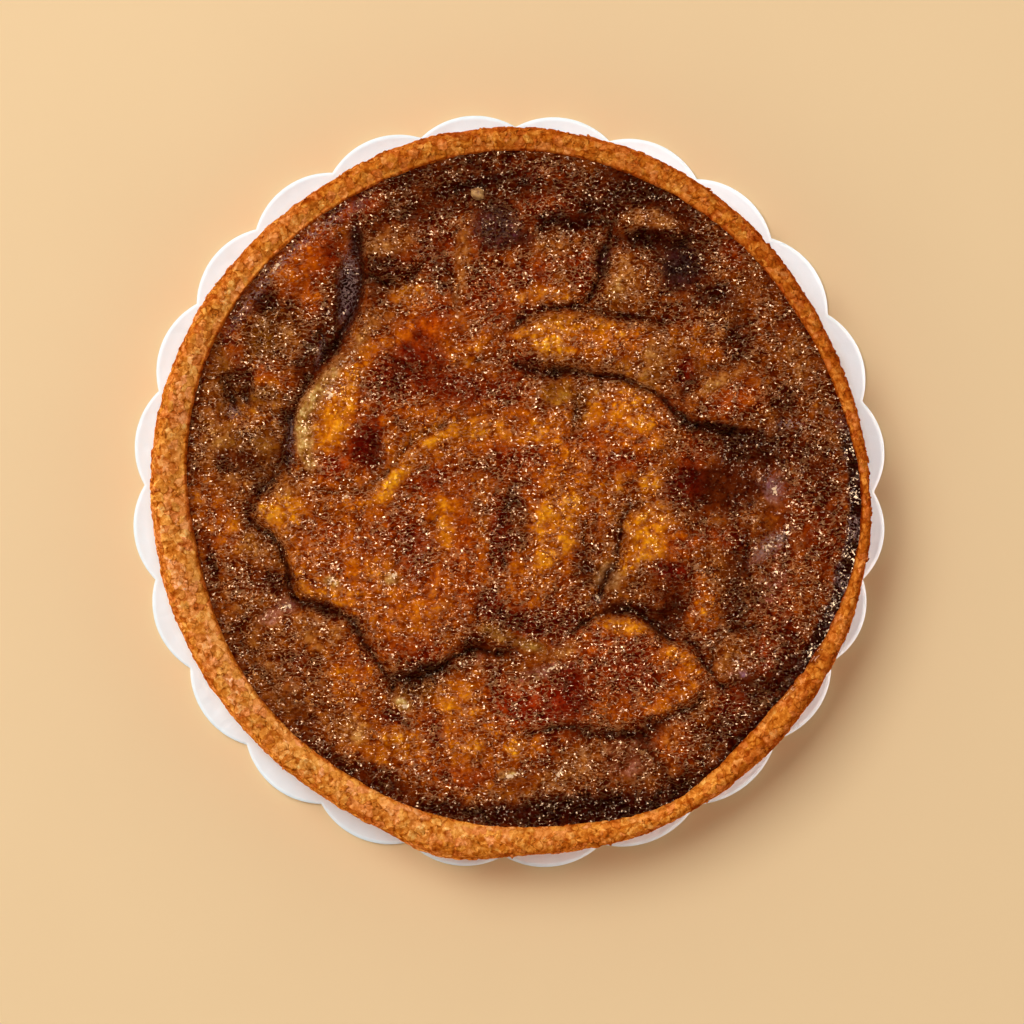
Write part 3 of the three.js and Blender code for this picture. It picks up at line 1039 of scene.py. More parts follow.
@dataclass
class Sheet:
    """A node tree under construction, with short ways to add and join nodes."""

    tree: bpy.types.NodeTree

    def feed(self, node: bpy.types.Node, inputs: dict) -> None:
        """Fills a node's inputs.

        Args:
            node: The node.
            inputs: What each input is given: a value, or an output to join to it.
        """
        for key, value in inputs.items():
            if isinstance(value, Socket):
                self.tree.links.new(value, node.inputs[key])
            else:
                node.inputs[key].default_value = value

    def add(self, kind: str, inputs: dict | None = None, **settings: object) -> bpy.types.Node:
        """Adds a node.

        Args:
            kind: The node's type name.
            inputs: What each input is given: a value, or an output to join to it.
            settings: The node's own properties.

        Returns:
            The new node.
        """
        node = self.tree.nodes.new(kind)
        for name, value in settings.items():
            setattr(node, name, value)
        self.feed(node, inputs or {})
        return node

    def math(self, operation: str, *values: object, clamp: bool = False) -> Socket:
        """The result of a Math node on up to three values or outputs."""
        inputs = dict(enumerate(values))
        return self.add("ShaderNodeMath", inputs, operation=operation, use_clamp=clamp).outputs[0]

    def times(self, first: object, second: object) -> Socket:
        """Two values or outputs multiplied."""
        return self.math("MULTIPLY", first, second)

    def centred(self, value: object) -> Socket:
        """A value from 0 to 1, carried to -0.5 to 0.5."""
        return self.math("SUBTRACT", value, 0.5)

    def heap(self, ground: object, *layers: tuple[object, float]) -> Socket:
        """Adds layers to a ground, in order.

        Args:
            ground: The value or output to start from.
            layers: Each layer's output and what it is multiplied by.

        Returns:
            The output that holds the sum.
        """
        for layer, weight in layers:
            ground = self.math("MULTIPLY_ADD", layer, weight, ground)
        return ground

    def vector(self, operation: str, *values: object, **named: object) -> Socket:
        """The result of a Vector Math node on values or outputs."""
        inputs = {**dict(enumerate(values)), **named}
        return self.add("ShaderNodeVectorMath", inputs, operation=operation).outputs[0]

    def span(
        self, value: object, low: float, high: float, to_low: float = 0.0, to_high: float = 1.0
    ) -> Socket:
        """Carries a value from low..high to to_low..to_high, and no further."""
        inputs = {"Value": value, "From Min": low, "From Max": high, "To Min": to_low, "To Max": to_high}
        return self.add("ShaderNodeMapRange", inputs).outputs["Result"]

    def blend(self, share: object, first: object, second: object, kind: str = "MIX") -> Socket:
        """Mixes two colours.

        Args:
            share: How much of the second colour counts.
            first: The colour under it.
            second: The colour laid over it.
            kind: How they are mixed.

        Returns:
            The output that holds the mixed colour.
        """
        inputs = {0: share, 6: first, 7: second}
        for key, value in inputs.items():
            if isinstance(value, tuple):
                inputs[key] = (*value, 1.0)
        return self.add("ShaderNodeMix", inputs, data_type="RGBA", blend_type=kind).outputs[2]

    def shades(self, colour: object, depth: object, spread: Triple) -> Socket:
        """Darkens and lightens a colour, each channel at its own pace.

        Args:
            colour: The output that holds the colour.
            depth: How far to go: below 0 darkens, above 0 lightens.
            spread: What each channel is multiplied by where depth is 1.

        Returns:
            The output that holds the new colour.
        """
        powers = {i: self.math("POWER", base, depth) for i, base in enumerate(spread)}
        factor = self.add("ShaderNodeCombineColor", powers).outputs[0]
        return self.blend(1.0, colour, factor, "MULTIPLY")

    def channels(self, colour: object) -> list[Socket]:
        """A colour's red, green and blue."""
        return list(self.add("ShaderNodeSeparateColor", {0: colour}).outputs)

    def noise(
        self, where: object, grain_mm: float, detail: float = 2.0, rough: float = 0.5, output: int = 0
    ) -> Socket:
        """The value of a Noise Texture of grain_mm, or its colour where output is 1."""
        inputs = {"Vector": where, "Scale": 1 / (grain_mm * MM), "Detail": detail, "Roughness": rough}
        return self.add("ShaderNodeTexNoise", inputs).outputs[output]

    def grains(self, where: object, pitch_mm: float, feature: str = "F1", output: str = "Distance") -> Socket:
        """One output of a Voronoi Texture whose cells are pitch_mm apart."""
        inputs = {"Vector": where, "Scale": 1 / (pitch_mm * MM)}
        return self.add("ShaderNodeTexVoronoi", inputs, feature=feature).outputs[output]

    def attribute(self, name: str, output: str = "Fac") -> Socket:
        """One output of the piece's own attribute of that name."""
        return self.add("ShaderNodeAttribute", attribute_name=name).outputs[output]

    def bump(self, height: object, depth_mm: float, under: Socket | None = None) -> Socket:
        """Raises a surface by a height from 0 to 1.

        Args:
            height: The output that holds the height.
            depth_mm: How far 1 stands above 0.
            under: The bump that this one lies on, if any.

        Returns:
            The normal to join to a shader.
        """
        inputs = {"Height": height, "Distance": depth_mm * MM}
        if under is not None:
            inputs["Normal"] = under
        return self.add("ShaderNodeBump", inputs).outputs[0]

    def ridges(self, where: object, grain_mm: float, width: float) -> Socket:
        """1 along winding lines about grain_mm apart, falling to 0 beside them."""
        away = self.math("ABSOLUTE", self.centred(self.noise(where, grain_mm)))
        return self.span(away, 0.0, width, 1.0, 0.0)

    def lean(self, where: object, degrees: float, stretch: float) -> Socket:
        """Places turned and squeezed, which draws a pattern out along one slant."""
        turn = (0.0, 0.0, -math.radians(degrees))
        inputs = {"Vector": where, "Rotation": turn, "Scale": (stretch, 1.0, 1.0)}
        return self.add("ShaderNodeMapping", inputs).outputs[0]

    def bend(self, where: object, grain_mm: float, reach_mm: float) -> Socket:
        """Shifts places by a wandering offset, which keeps a pattern from lining up."""
        wander = self.vector("SUBTRACT", self.noise(where, grain_mm, output=1), (0.5, 0.5, 0.5))
        return self.vector("MULTIPLY_ADD", wander, (reach_mm * MM,) * 3, where)

    def facet(self, normal: object, colour: object, tilt: object) -> Socket:
        """Tilts a normal at random, one way for each cell that has its own colour.

        Args:
            normal: The normal to tilt.
            colour: The cells' colours.
            tilt: How far a cell may tilt, as a slope.

        Returns:
            The normal to join to a shader.
        """
        lean = self.vector("ADD", colour, (-0.5, -0.5, -0.5))
        leant = self.vector("ADD", self.vector("SCALE", lean, Scale=tilt), normal)
        return self.vector("NORMALIZE", leant)


def new_material(name: str) -> tuple[bpy.types.Material, Sheet, bpy.types.Node, Socket]:
    """Starts a material.

    Args:
        name: The material's name.

    Returns:
        The material, its node sheet, its main shader, and the object coordinates.
    """
    material = bpy.data.materials.new(name)
    material.use_nodes = True
    material.node_tree.nodes.clear()
    sheet = Sheet(material.node_tree)
    shader = sheet.add("ShaderNodeBsdfPrincipled")
    sheet.add("ShaderNodeOutputMaterial", {"Surface": shader.outputs[0]})
    where = sheet.add("ShaderNodeTexCoord").outputs["Object"]
    return material, sheet, shader, where


# ---------------------------------------------------------------------------------------
# Finishes: grains, pitches and depths in millimetres. A weight is how far a layer lightens
# its ground, or darkens it where below 0; a band is where in a noise the layer sets in.
# ---------------------------------------------------------------------------------------


@dataclass(frozen=True)
class BakedSkinFinish:
    """The filling's skin: beaded with sugar, syrupy and baked to many browns, with painted glints, sheen,
    highlights and shade.
    """

    lightness: float = 0.42
    spread: Triple = (1.5, 1.95, 3.2)
    patch_grain: float = 7.0
    patch_band: Pair = (0.36, 0.52)
    broad_grain: float = 4.0
    broad_weight: float = 3.7
    fine_grain: float = 1.0
    fine_weight: float = 2.2
    gap_pitch: float = 7.0
    gap_width: float = 0.07
    gap_weight: float = -1.0
    bead_pitch: float = 1.5
    bead_weight: float = 2.0
    bead_depth: float = 0.34
    knob_pitch: float = 3.6
    knob_weight: float = 2.6
    dome: float = 0.75
    pit_grain: float = 1.7
    pit_band: Pair = (0.44, 0.34)
    pit_weight: float = -1.5
    ripple_depth: float = 0.8
    # Painted glints: pale curls with dark halos, and the colour they are painted in.
    wisp_grain: float = 1.4
    wisp_band: Pair = (0.31, 0.37)
    curl_pitch: float = 1.3
    curl_slant: float = 45.0
    curl_stretch: float = 0.5
    curl_width: float = 0.07
    glint_share: float = 0.4
    curl: Triple = linear(236, 164, 100)
    halo_width: float = 0.22
    halo_weight: float = -1.1
    # Painted sheen: grey streaks where the skin shines.
    sheen_pitch: float = 1.5
    sheen_width: float = 0.07
    sheen_share: float = 0.8
    painted_sheen: Triple = linear(156, 120, 112)
    # Painted highlight spots.
    highlight_spot: Triple = linear(246, 206, 164)
    highlight_spot_band: Pair = (2.3, 2.6)
    blot_grain: float = 2.6
    blot_band: Pair = (0.54, 0.6)
    facet_pitch: float = 0.55
    facet_tilt: float = 0.8
    glint_lean: Triple = (-0.2, 0.18, 0.0)
    roughness: float = 0.4
    syrup_roughness: float = 0.1

    def build(self) -> bpy.types.Material:
        """Makes the material.

        Returns:
            The material.
        """
        material, sheet, shader, where = new_material("baked_skin")
        tint = sheet.attribute("tint", "Color")
        slick = sheet.attribute("slick")
        red = sheet.channels(tint)[0]
        rough = sheet.span(red, 0.18, 0.5, 1.1, 0.4)
        bent = sheet.bend(where, 1.2, 0.9)
        patch = sheet.span(sheet.noise(where, self.patch_grain), *self.patch_band, 0.3, 1.0)
        grainy = sheet.times(sheet.attribute("grainy"), patch)
        broad = sheet.noise(where, self.broad_grain)
        bead = sheet.span(sheet.grains(bent, self.bead_pitch), 0.0, self.dome, 1.0, 0.0)
        knob = sheet.span(sheet.grains(bent, self.knob_pitch), 0.0, self.dome, 0.5, -0.5)

        # Painted glints: thin pale curls that lean one way, each in a dark halo of its own.
        leaning = sheet.lean(bent, self.curl_slant, self.curl_stretch)
        wisps = sheet.span(sheet.noise(where, self.wisp_grain, 1.0, 0.55), *self.wisp_band)
        wisps = sheet.times(wisps, grainy)
        glint_strokes = sheet.times(sheet.ridges(leaning, self.curl_pitch, self.curl_width), wisps)
        halo = sheet.ridges(leaning, self.curl_pitch, self.halo_width)

        pit = sheet.span(sheet.noise(where, self.pit_grain), *self.pit_band)
        # Random tone, dark gaps, halos and pits; beads and knobs are painted lighter on top and darker
        # between them, as painted light and shade.
        depth = sheet.heap(
            self.lightness,
            (sheet.centred(broad), self.broad_weight),
            (sheet.centred(sheet.noise(where, self.fine_grain)), self.fine_weight),
            (sheet.ridges(where, self.gap_pitch, self.gap_width), self.gap_weight),
            (sheet.times(sheet.centred(bead), grainy), self.bead_weight),
            (sheet.times(knob, grainy), self.knob_weight),
            (sheet.times(halo, sheet.times(wisps, rough)), self.halo_weight),
            (sheet.times(pit, rough), self.pit_weight),
        )
        shaded = sheet.shades(tint, depth, self.spread)
        bright = sheet.times(sheet.span(red, 0.01, 0.2), self.glint_share)
        shaded = sheet.blend(sheet.times(glint_strokes, bright), shaded, self.curl)
        # Painted sheen: grey streaks laid over the colour.
        sheen_streaks = sheet.ridges(bent, self.sheen_pitch, self.sheen_width)
        sheen_streaks = sheet.times(sheen_streaks, sheet.attribute("painted_sheen"))
        shaded = sheet.blend(sheet.times(sheen_streaks, self.sheen_share), shaded, self.painted_sheen)
        # Painted highlight spots, frayed by noise.
        highlight_spots = sheet.heap(sheet.attribute("highlight_spot"), (sheet.noise(where, 1.0, 1.0, 0.55), 3.0))

        # The curls glint towards the lamp where the skin is light, and syrup lies in blots.
        ripple = sheet.bump(broad, self.ripple_depth)
        tilt = sheet.times(sheet.span(slick, 0.0, 1.0, 1.0, 0.25), self.facet_tilt)
        facets = sheet.grains(bent, self.facet_pitch, output="Color")
        blots = sheet.span(sheet.noise(bent, self.blot_grain, 1.0, 0.55), *self.blot_band)
        glints = sheet.times(sheet.span(red, 0.02, 0.25, 0.45, 1.0), sheet.span(glint_strokes, 0.0, 0.4))
        finish = {
            "Base Color": sheet.blend(sheet.span(highlight_spots, *self.highlight_spot_band), shaded, self.highlight_spot),
            "Normal": sheet.bump(sheet.times(bead, grainy), self.bead_depth, ripple),
            "Roughness": self.roughness,
            "Coat Normal": sheet.facet(sheet.vector("ADD", ripple, self.glint_lean), facets, tilt),
            "Coat Weight": sheet.math("MAXIMUM", glints, sheet.times(slick, blots)),
            "Coat Roughness": self.syrup_roughness,
            "Specular IOR Level": 0.0,
        }
        sheet.feed(shader, finish)
        return material


@dataclass(frozen=True)
class GranuleFinish:
    """Crystals of caramelised sugar: glassy and paler than the skin they sit in, the pale share also a
    painted glint.
    """

    pitch: float = 1.1
    spread: Triple = (1.6, 2.0, 2.8)
    pale: Triple = linear(250, 180, 112)
    roughness: float = 0.22

    def build(self) -> bpy.types.Material:
        """Makes the material.

        Returns:
            The material.
        """
        material, sheet, shader, where = new_material("caramel_grain")
        tint = sheet.attribute("tint", "Color")
        lots = sheet.channels(sheet.grains(where, self.pitch, output="Color"))
        lit = sheet.shades(tint, sheet.span(lots[1], 0.0, 1.0, 0.4, 1.6), self.spread)
        light = sheet.span(sheet.channels(tint)[0], 0.02, 0.25, 0.45, 1.0)
        # Paler crystals, standing in also for painted glints: some grains turn pale, less so on dark skin.
        share = sheet.times(sheet.span(lots[0], 0.3, 1.0, 0.05, 0.72), light)
        sheet.feed(shader, {"Base Color": sheet.blend(share, lit, self.pale), "Roughness": self.roughness})
        return material


@dataclass(frozen=True)
class ShortcrustFinish:
    """Baked shortcrust: matt and crumbly, golden, browner where the heat caught it and where shade is painted
    on the inner wall.
    """

    name: str = "shortcrust"
    pale: Triple = linear(236, 160, 74)
    golden: Triple = linear(222, 132, 43)
    toasted: Triple = linear(174, 80, 15)
    # Darkens where syrup lies, and along the seam, where it is also painted shade.
    pink: Triple = (1.0, 0.86, 1.5)
    wet_and_shade: Triple = (0.42, 0.24, 0.14)
    spread: Triple = (1.22, 1.43, 1.88)
    darkest: float = -4.5
    broad_grain: float = 9.0
    crumb_grain: float = 1.7
    crumb_weight: float = 7.0
    crumb_depth: float = 0.5
    patch_grain: float = 3.4
    patch_weight: float = 3.5
    flake_pitch: float = 3.0
    shard_pitch: float = 1.3
    flake_weight: float = 2.2
    crack_grain: float = 2.4
    crack_band: Pair = (0.44, 0.6)
    crack_width: float = 0.11
    crack_weight: float = -3.0
    crack_depth: float = -0.2
    worn_weight: float = 0.5
    scar_weight: float = -4.0

    def build(self) -> bpy.types.Material:
        """Makes the material.

        Returns:
            The material.
        """
        material, sheet, shader, where = new_material(self.name)
        syrup = sheet.attribute("syrup")
        worn = sheet.attribute("worn")
        crumb = sheet.noise(where, self.crumb_grain, 4.0, 0.65)
        bent = sheet.bend(where, 2.6, 2.2)
        flake = sheet.grains(bent, self.flake_pitch, output="Color")
        shard = sheet.grains(bent, self.shard_pitch, output="Color")
        flakes = sheet.channels(flake)
        edge = sheet.grains(bent, self.flake_pitch, "DISTANCE_TO_EDGE")
        broken = sheet.span(sheet.noise(where, self.crack_grain, 2.0, 0.55), *self.crack_band)
        crack = sheet.times(sheet.span(edge, 0.0, self.crack_width, 1.0, 0.0), broken)

        broad = sheet.span(sheet.noise(where, self.broad_grain, 4.0, 0.6), 0.3, 0.7, -0.14, 0.14)
        baked = sheet.math("ADD", sheet.attribute("toast"), broad, clamp=True)
        ground = sheet.blend(sheet.span(baked, 0.0, 0.5), self.pale, self.golden)
        ground = sheet.blend(sheet.span(baked, 0.5, 1.0), ground, self.toasted)
        ground = sheet.blend(sheet.span(flakes[2], 0.35, 0.9, 0.0, 0.8), ground, self.pink, "MULTIPLY")
        depth = sheet.heap(
            sheet.times(sheet.centred(crumb), self.crumb_weight),
            (sheet.centred(sheet.noise(where, self.patch_grain, 3.0, 0.6)), self.patch_weight),
            (sheet.centred(flakes[0]), self.flake_weight),
            (sheet.centred(sheet.channels(shard)[0]), self.flake_weight),
            (crack, self.crack_weight),
        )
        depth = sheet.times(depth, sheet.span(worn, 0.0, 1.0, 1.0, 0.6))
        depth = sheet.heap(depth, (worn, self.worn_weight), (sheet.attribute("scar"), self.scar_weight))
        ground = sheet.shades(ground, sheet.math("MAXIMUM", depth, self.darkest), self.spread)
        tilt = sheet.span(worn, 0.0, 1.0, 0.55, 0.15)
        relief = sheet.bump(crumb, self.crumb_depth, sheet.bump(crack, self.crack_depth))
        finish = {
            "Base Color": sheet.blend(syrup, ground, self.wet_and_shade, "MULTIPLY"),
            "Roughness": sheet.span(syrup, 0.0, 1.0, 0.75, 0.16),
            "Normal": sheet.facet(sheet.facet(relief, flake, tilt), shard, tilt),
            "Coat Weight": sheet.span(syrup, 0.2, 1.0, 0.0, 0.4),
            "Specular IOR Level": 0.0,
        }
        sheet.feed(shader, finish)
        return material


@dataclass(frozen=True)
class PaperFinish:
    """White cake paper: matt, faintly fibrous, with a little butter near the crust."""

    white: Triple = (0.93, 0.97, 0.985)
    greased: Triple = (0.80, 0.74, 0.66)
    fibrous: Triple = (0.95, 0.95, 0.97)
    fibre_grain: float = 0.9
    fibre_depth: float = 0.05
    cloud_grain: float = 14.0

    def build(self) -> bpy.types.Material:
        """Makes the material.

        Returns:
            The material.
        """
        material, sheet, shader, where = new_material("cake_paper")
        fibre = sheet.noise(where, self.fibre_grain, 5.0, 0.7)
        cloud = sheet.span(sheet.noise(where, self.cloud_grain, 3.0), 0.3, 0.7)
        colour = sheet.blend(sheet.times(sheet.attribute("grease"), cloud), self.white, self.greased)
        fibres = sheet.span(fibre, 0.35, 0.7, 0.0, 0.1)
        finish = {
            "Base Color": sheet.blend(fibres, colour, self.fibrous, "MULTIPLY"),
            "Normal": sheet.bump(fibre, self.fibre_depth),
            "Roughness": 0.7,
            "Specular IOR Level": 0.04,
        }
        sheet.feed(shader, finish)
        return material


@dataclass(frozen=True)
class NutFinish:
    """A pale crumb of nut, roasted at its edges."""

    roasted: Triple = linear(116, 66, 26)
    pale: Triple = linear(196, 146, 84)
    grain: float = 1.6
    depth: float = 0.3

    def build(self) -> bpy.types.Material:
        """Makes the material.

        Returns:
            The material.
        """
        material, sheet, shader, where = new_material("nut_crumb")
        patchy = sheet.noise(where, self.grain, 4.0, 0.6)
        finish = {
            "Base Color": sheet.blend(sheet.span(patchy, 0.38, 0.62), self.roasted, self.pale),
            "Normal": sheet.bump(patchy, self.depth),
            "Roughness": 0.5,
        }
        sheet.feed(shader, finish)
        return material


@dataclass(frozen=True)
class TableFinish:
    """The plain pale table under the tart."""

    colour: Triple = linear(245, 214, 168)
    shade: Triple = (0.96, 0.95, 0.94)
    cloud_grain: float = 60.0

    def build(self) -> bpy.types.Material:
        """Makes the material.

        Returns:
            The material.
        """
        material, sheet, shader, where = new_material("pale_table")
        cloud = sheet.span(sheet.noise(where, self.cloud_grain, rough=0.55), 0.3, 0.7, 0.0, 0.25)
        finish = {
            "Base Color": sheet.blend(cloud, self.colour, self.shade, "MULTIPLY"),
            "Roughness": 0.7,
            "Specular IOR Level": 0.05,
        }
        sheet.feed(shader, finish)
        return material


# ---------------------------------------------------------------------------------------
# Scatters
# ---------------------------------------------------------------------------------------


@dataclass(frozen=True)
class Scatter:
    """Geometry Nodes that strew small rounded grains over a host surface.

    Density is in grains to a square millimetre where weight, an attribute of the host, is 1.
    """

    name: str
    density: float
    smallest: float
    largest: float
    sink: float
    facets: int
    seed: int
    weight: str
    flatness: float = 0.75
    lump_scale: float = 1.7
    lump_push: float = 0.7
    tip: float = 0.6
    full_turn: float = 6.283

    @staticmethod
    def _lot(sheet: Sheet, seed: int, low: object, high: object) -> Socket:
        """A random number, or a random place, between low and high for each grain."""
        if isinstance(low, tuple):
            inputs = {0: low, 1: high, "Seed": seed}
            return sheet.add("FunctionNodeRandomValue", inputs, data_type="FLOAT_VECTOR").outputs[0]
        inputs = {2: low, 3: high, "Seed": seed}
        return sheet.add("FunctionNodeRandomValue", inputs, data_type="FLOAT").outputs[1]

    def _grain(self, sheet: Sheet) -> Socket:
        """Makes one lumpy grain, a unit across.

        Args:
            sheet: The tree to add it to.

        Returns:
            The output that holds the grain.
        """
        ball = sheet.add("GeometryNodeMeshIcoSphere", {"Radius": 0.5, "Subdivisions": self.facets})
        lumps = sheet.add("ShaderNodeTexNoise", {"Scale": self.lump_scale, "Detail": 1.0})
        lump = sheet.vector("ADD", lumps.outputs[1], (-0.5, -0.5, -0.5))
        push = sheet.vector("SCALE", lump, Scale=self.lump_push)
        shaped = sheet.add("GeometryNodeSetPosition", {"Geometry": ball.outputs[0], "Offset": push})
        return sheet.add("GeometryNodeSetShadeSmooth", {0: shaped.outputs[0]}).outputs[0]

    def _tree(self) -> bpy.types.NodeTree:
        """Builds the node tree, with named inputs for its sizes.

        Returns:
            The node tree.
        """
        tree = bpy.data.node_groups.new(self.name, "GeometryNodeTree")
        face = tree.interface
        face.new_socket("Host", in_out="INPUT", socket_type="NodeSocketGeometry")
        for label in ("Density", "Smallest", "Largest", "Sink", "Flatness"):
            face.new_socket(label, in_out="INPUT", socket_type="NodeSocketFloat")
        face.new_socket("Seed", in_out="INPUT", socket_type="NodeSocketInt")
        face.new_socket("Finish", in_out="INPUT", socket_type="NodeSocketMaterial")
        face.new_socket("Grains", in_out="OUTPUT", socket_type="NodeSocketGeometry")
        sheet = Sheet(tree)
        given = sheet.add("NodeGroupInput").outputs

        weight = sheet.add("GeometryNodeInputNamedAttribute", {"Name": self.weight}, data_type="FLOAT")
        density = sheet.times(given["Density"], weight.outputs[0])
        spread = {"Mesh": given["Host"], "Density": density, "Seed": given["Seed"]}
        points = sheet.add("GeometryNodeDistributePointsOnFaces", spread).outputs

        turn = self._lot(sheet, 3, (-self.tip, -self.tip, 0.0), (self.tip, self.tip, self.full_turn))
        facing = {"Rotation": points["Rotation"], "Rotate By": turn}
        facing = sheet.add("FunctionNodeRotateRotation", facing, rotation_space="LOCAL")
        size = self._lot(sheet, 5, given["Smallest"], given["Largest"])
        squash = self._lot(sheet, 7, (0.7, 0.6, 0.8), (1.9, 1.0, 1.1))
        flat = sheet.add("ShaderNodeCombineXYZ", {0: 1.0, 1: 1.0, 2: given["Flatness"]})
        form = sheet.vector("MULTIPLY", squash, flat.outputs[0])
        placing = {
            "Points": points["Points"],
            "Instance": self._grain(sheet),
            "Rotation": facing.outputs[0],
            "Scale": sheet.vector("SCALE", form, Scale=size),
        }
        placed = sheet.add("GeometryNodeInstanceOnPoints", placing)
        down = sheet.add("ShaderNodeCombineXYZ", {2: sheet.times(given["Sink"], -1.0)})
        sinking = {"Instances": placed.outputs[0], "Translation": down.outputs[0]}
        sunk = sheet.add("GeometryNodeTranslateInstances", sinking)
        real = sheet.add("GeometryNodeRealizeInstances", {"Geometry": sunk.outputs[0]})
        dressing = {"Geometry": real.outputs[0], "Material": given["Finish"]}
        dressed = sheet.add("GeometryNodeSetMaterial", dressing)
        sheet.add("NodeGroupOutput", {0: dressed.outputs[0]})
        return tree

    def strew(self, host: bpy.types.Object, material: bpy.types.Material) -> bpy.types.Object:
        """Strews the grains and makes them one plain mesh.

        Args:
            host: The surface that they lie on.
            material: What the grains are dressed with.

        Returns:
            The grains' object.
        """
        bed = bpy.data.objects.new(f"{self.name}_bed", host.data.copy())
        bpy.context.scene.collection.objects.link(bed)
        modifier = bed.modifiers.new(self.name, "NODES")
        modifier.node_group = self._tree()
        values = {
            "Density": self.density / MM**2,
            "Smallest": self.smallest * MM,
            "Largest": self.largest * MM,
            "Sink": self.sink * MM,
            "Flatness": self.flatness,
            "Seed": self.seed,
            "Finish": material,
        }
        for socket in modifier.node_group.interface.items_tree:
            if socket.in_out == "INPUT" and socket.name in values:
                modifier[socket.identifier] = values[socket.name]
        graph = bpy.context.evaluated_depsgraph_get()
        mesh = bpy.data.meshes.new_from_object(bed.evaluated_get(graph), depsgraph=graph)
        bed.modifiers.remove(modifier)
        bpy.data.objects.remove(bed)
        made = bpy.data.objects.new(self.name, mesh)
        bpy.context.scene.collection.objects.link(made)
        return made


# ---------------------------------------------------------------------------------------
# Sub-assemblies
# ---------------------------------------------------------------------------------------


@dataclass
class PaperRound:
    """The scalloped paper round, pressed at its edge and curled up a little."""

    tip: float = 130.0
    notch: float = 125.6
    flat: float = 120.5
    hidden: float = 22.0
    thickness: float = 0.5
    curl: float = 1.6
    press: float = 0.22
    wave: float = 0.35
    rest: float = 0.25
    scallops: int = 24
    first: float = 6.5
    stretch: Swell = Swell(325, 32, 3.2)
    steps_per_scallop: int = 36
    finish: PaperFinish = field(default_factory=PaperFinish)

    def edge(self, bearing: Array) -> Array:
        """The paper's radius at each bearing: an arc for each scallop.

        Args:
            bearing: The bearings, in radians.

        Returns:
            The radii.
        """
        pitch = 2 * math.pi / self.scallops
        turned = bearing - np.radians(self.first + self.stretch.reach(bearing))
        from_tip = np.mod(turned + pitch / 2, pitch) - pitch / 2
        half_chord = self.notch * math.sin(pitch / 2)
        sagitta = self.tip - self.notch * math.cos(pitch / 2)
        arc = (half_chord**2 + sagitta**2) / (2 * sagitta)
        centre = self.tip - arc
        return centre * np.cos(from_tip) + np.sqrt(arc**2 - (centre * np.sin(from_tip)) ** 2)

    def lift(self, radius: Array, bearing: Array) -> Array:
        """How far the paper stands off the table: its curl and its pressed creases.

        Args:
            radius: Places' distances from the middle.
            bearing: Their bearings, in radians.

        Returns:
            The heights.
        """
        curled = self.curl * np.clip((radius - self.flat) / (self.tip - self.flat), 0, 2) ** 2
        x, y = radius * np.cos(bearing), radius * np.sin(bearing)
        shown = smooth(self.flat - 4, self.flat + 2, radius)
        pressed = np.zeros_like(radius)
        for lean, pitch, seed in ((0.6, 5.5, 31), (-0.9, 7.5, 37)):
            slant = x * math.cos(lean) + y * math.sin(lean)
            other = y * math.cos(lean) - x * math.sin(lean)
            ridge = np.abs(Noise(pitch, seed).fractal(slant, other * 0.35, 2))
            pressed -= self.press * np.exp(-((ridge / 0.07) ** 2))
        wave = self.wave * Noise(16.0, 41).value(x, y)
        return curled + shown * (pressed + wave * smooth(self.flat, self.tip, radius) + self.rest)

    def build(self) -> bpy.types.Object:
        """Builds the paper as one closed sheet.

        Returns:
            The paper's object.
        """
        steps = self.scallops * self.steps_per_scallop
        bearing = np.radians(self.first) + np.arange(steps) / steps * 2 * math.pi
        under = []
        for share in np.concatenate([[0.0], np.linspace(0.35, 1.0, 15)]):
            radius = mix(self.flat - self.hidden, self.edge(bearing), share)
            under.append((radius, np.maximum(self.lift(radius, bearing), 0)))
        over = [(radius, height + self.thickness) for radius, height in reversed(under)]
        rings = [polar(radius, bearing, height) for radius, height in under + over]
        hubs = np.array([[0, 0, 0.0], [0, 0, self.thickness]])
        grid = np.concatenate([*rings, hubs]) * MM
        made = make_mesh("paper_round_sheet", grid, shell_faces(len(rings), steps), self.finish.build())
        radii = np.hypot(grid[:, 0], grid[:, 1]) / MM
        store(made, "grease", 1 - smooth(self.flat + 1.0, self.flat + 5.0, radii))
        return made


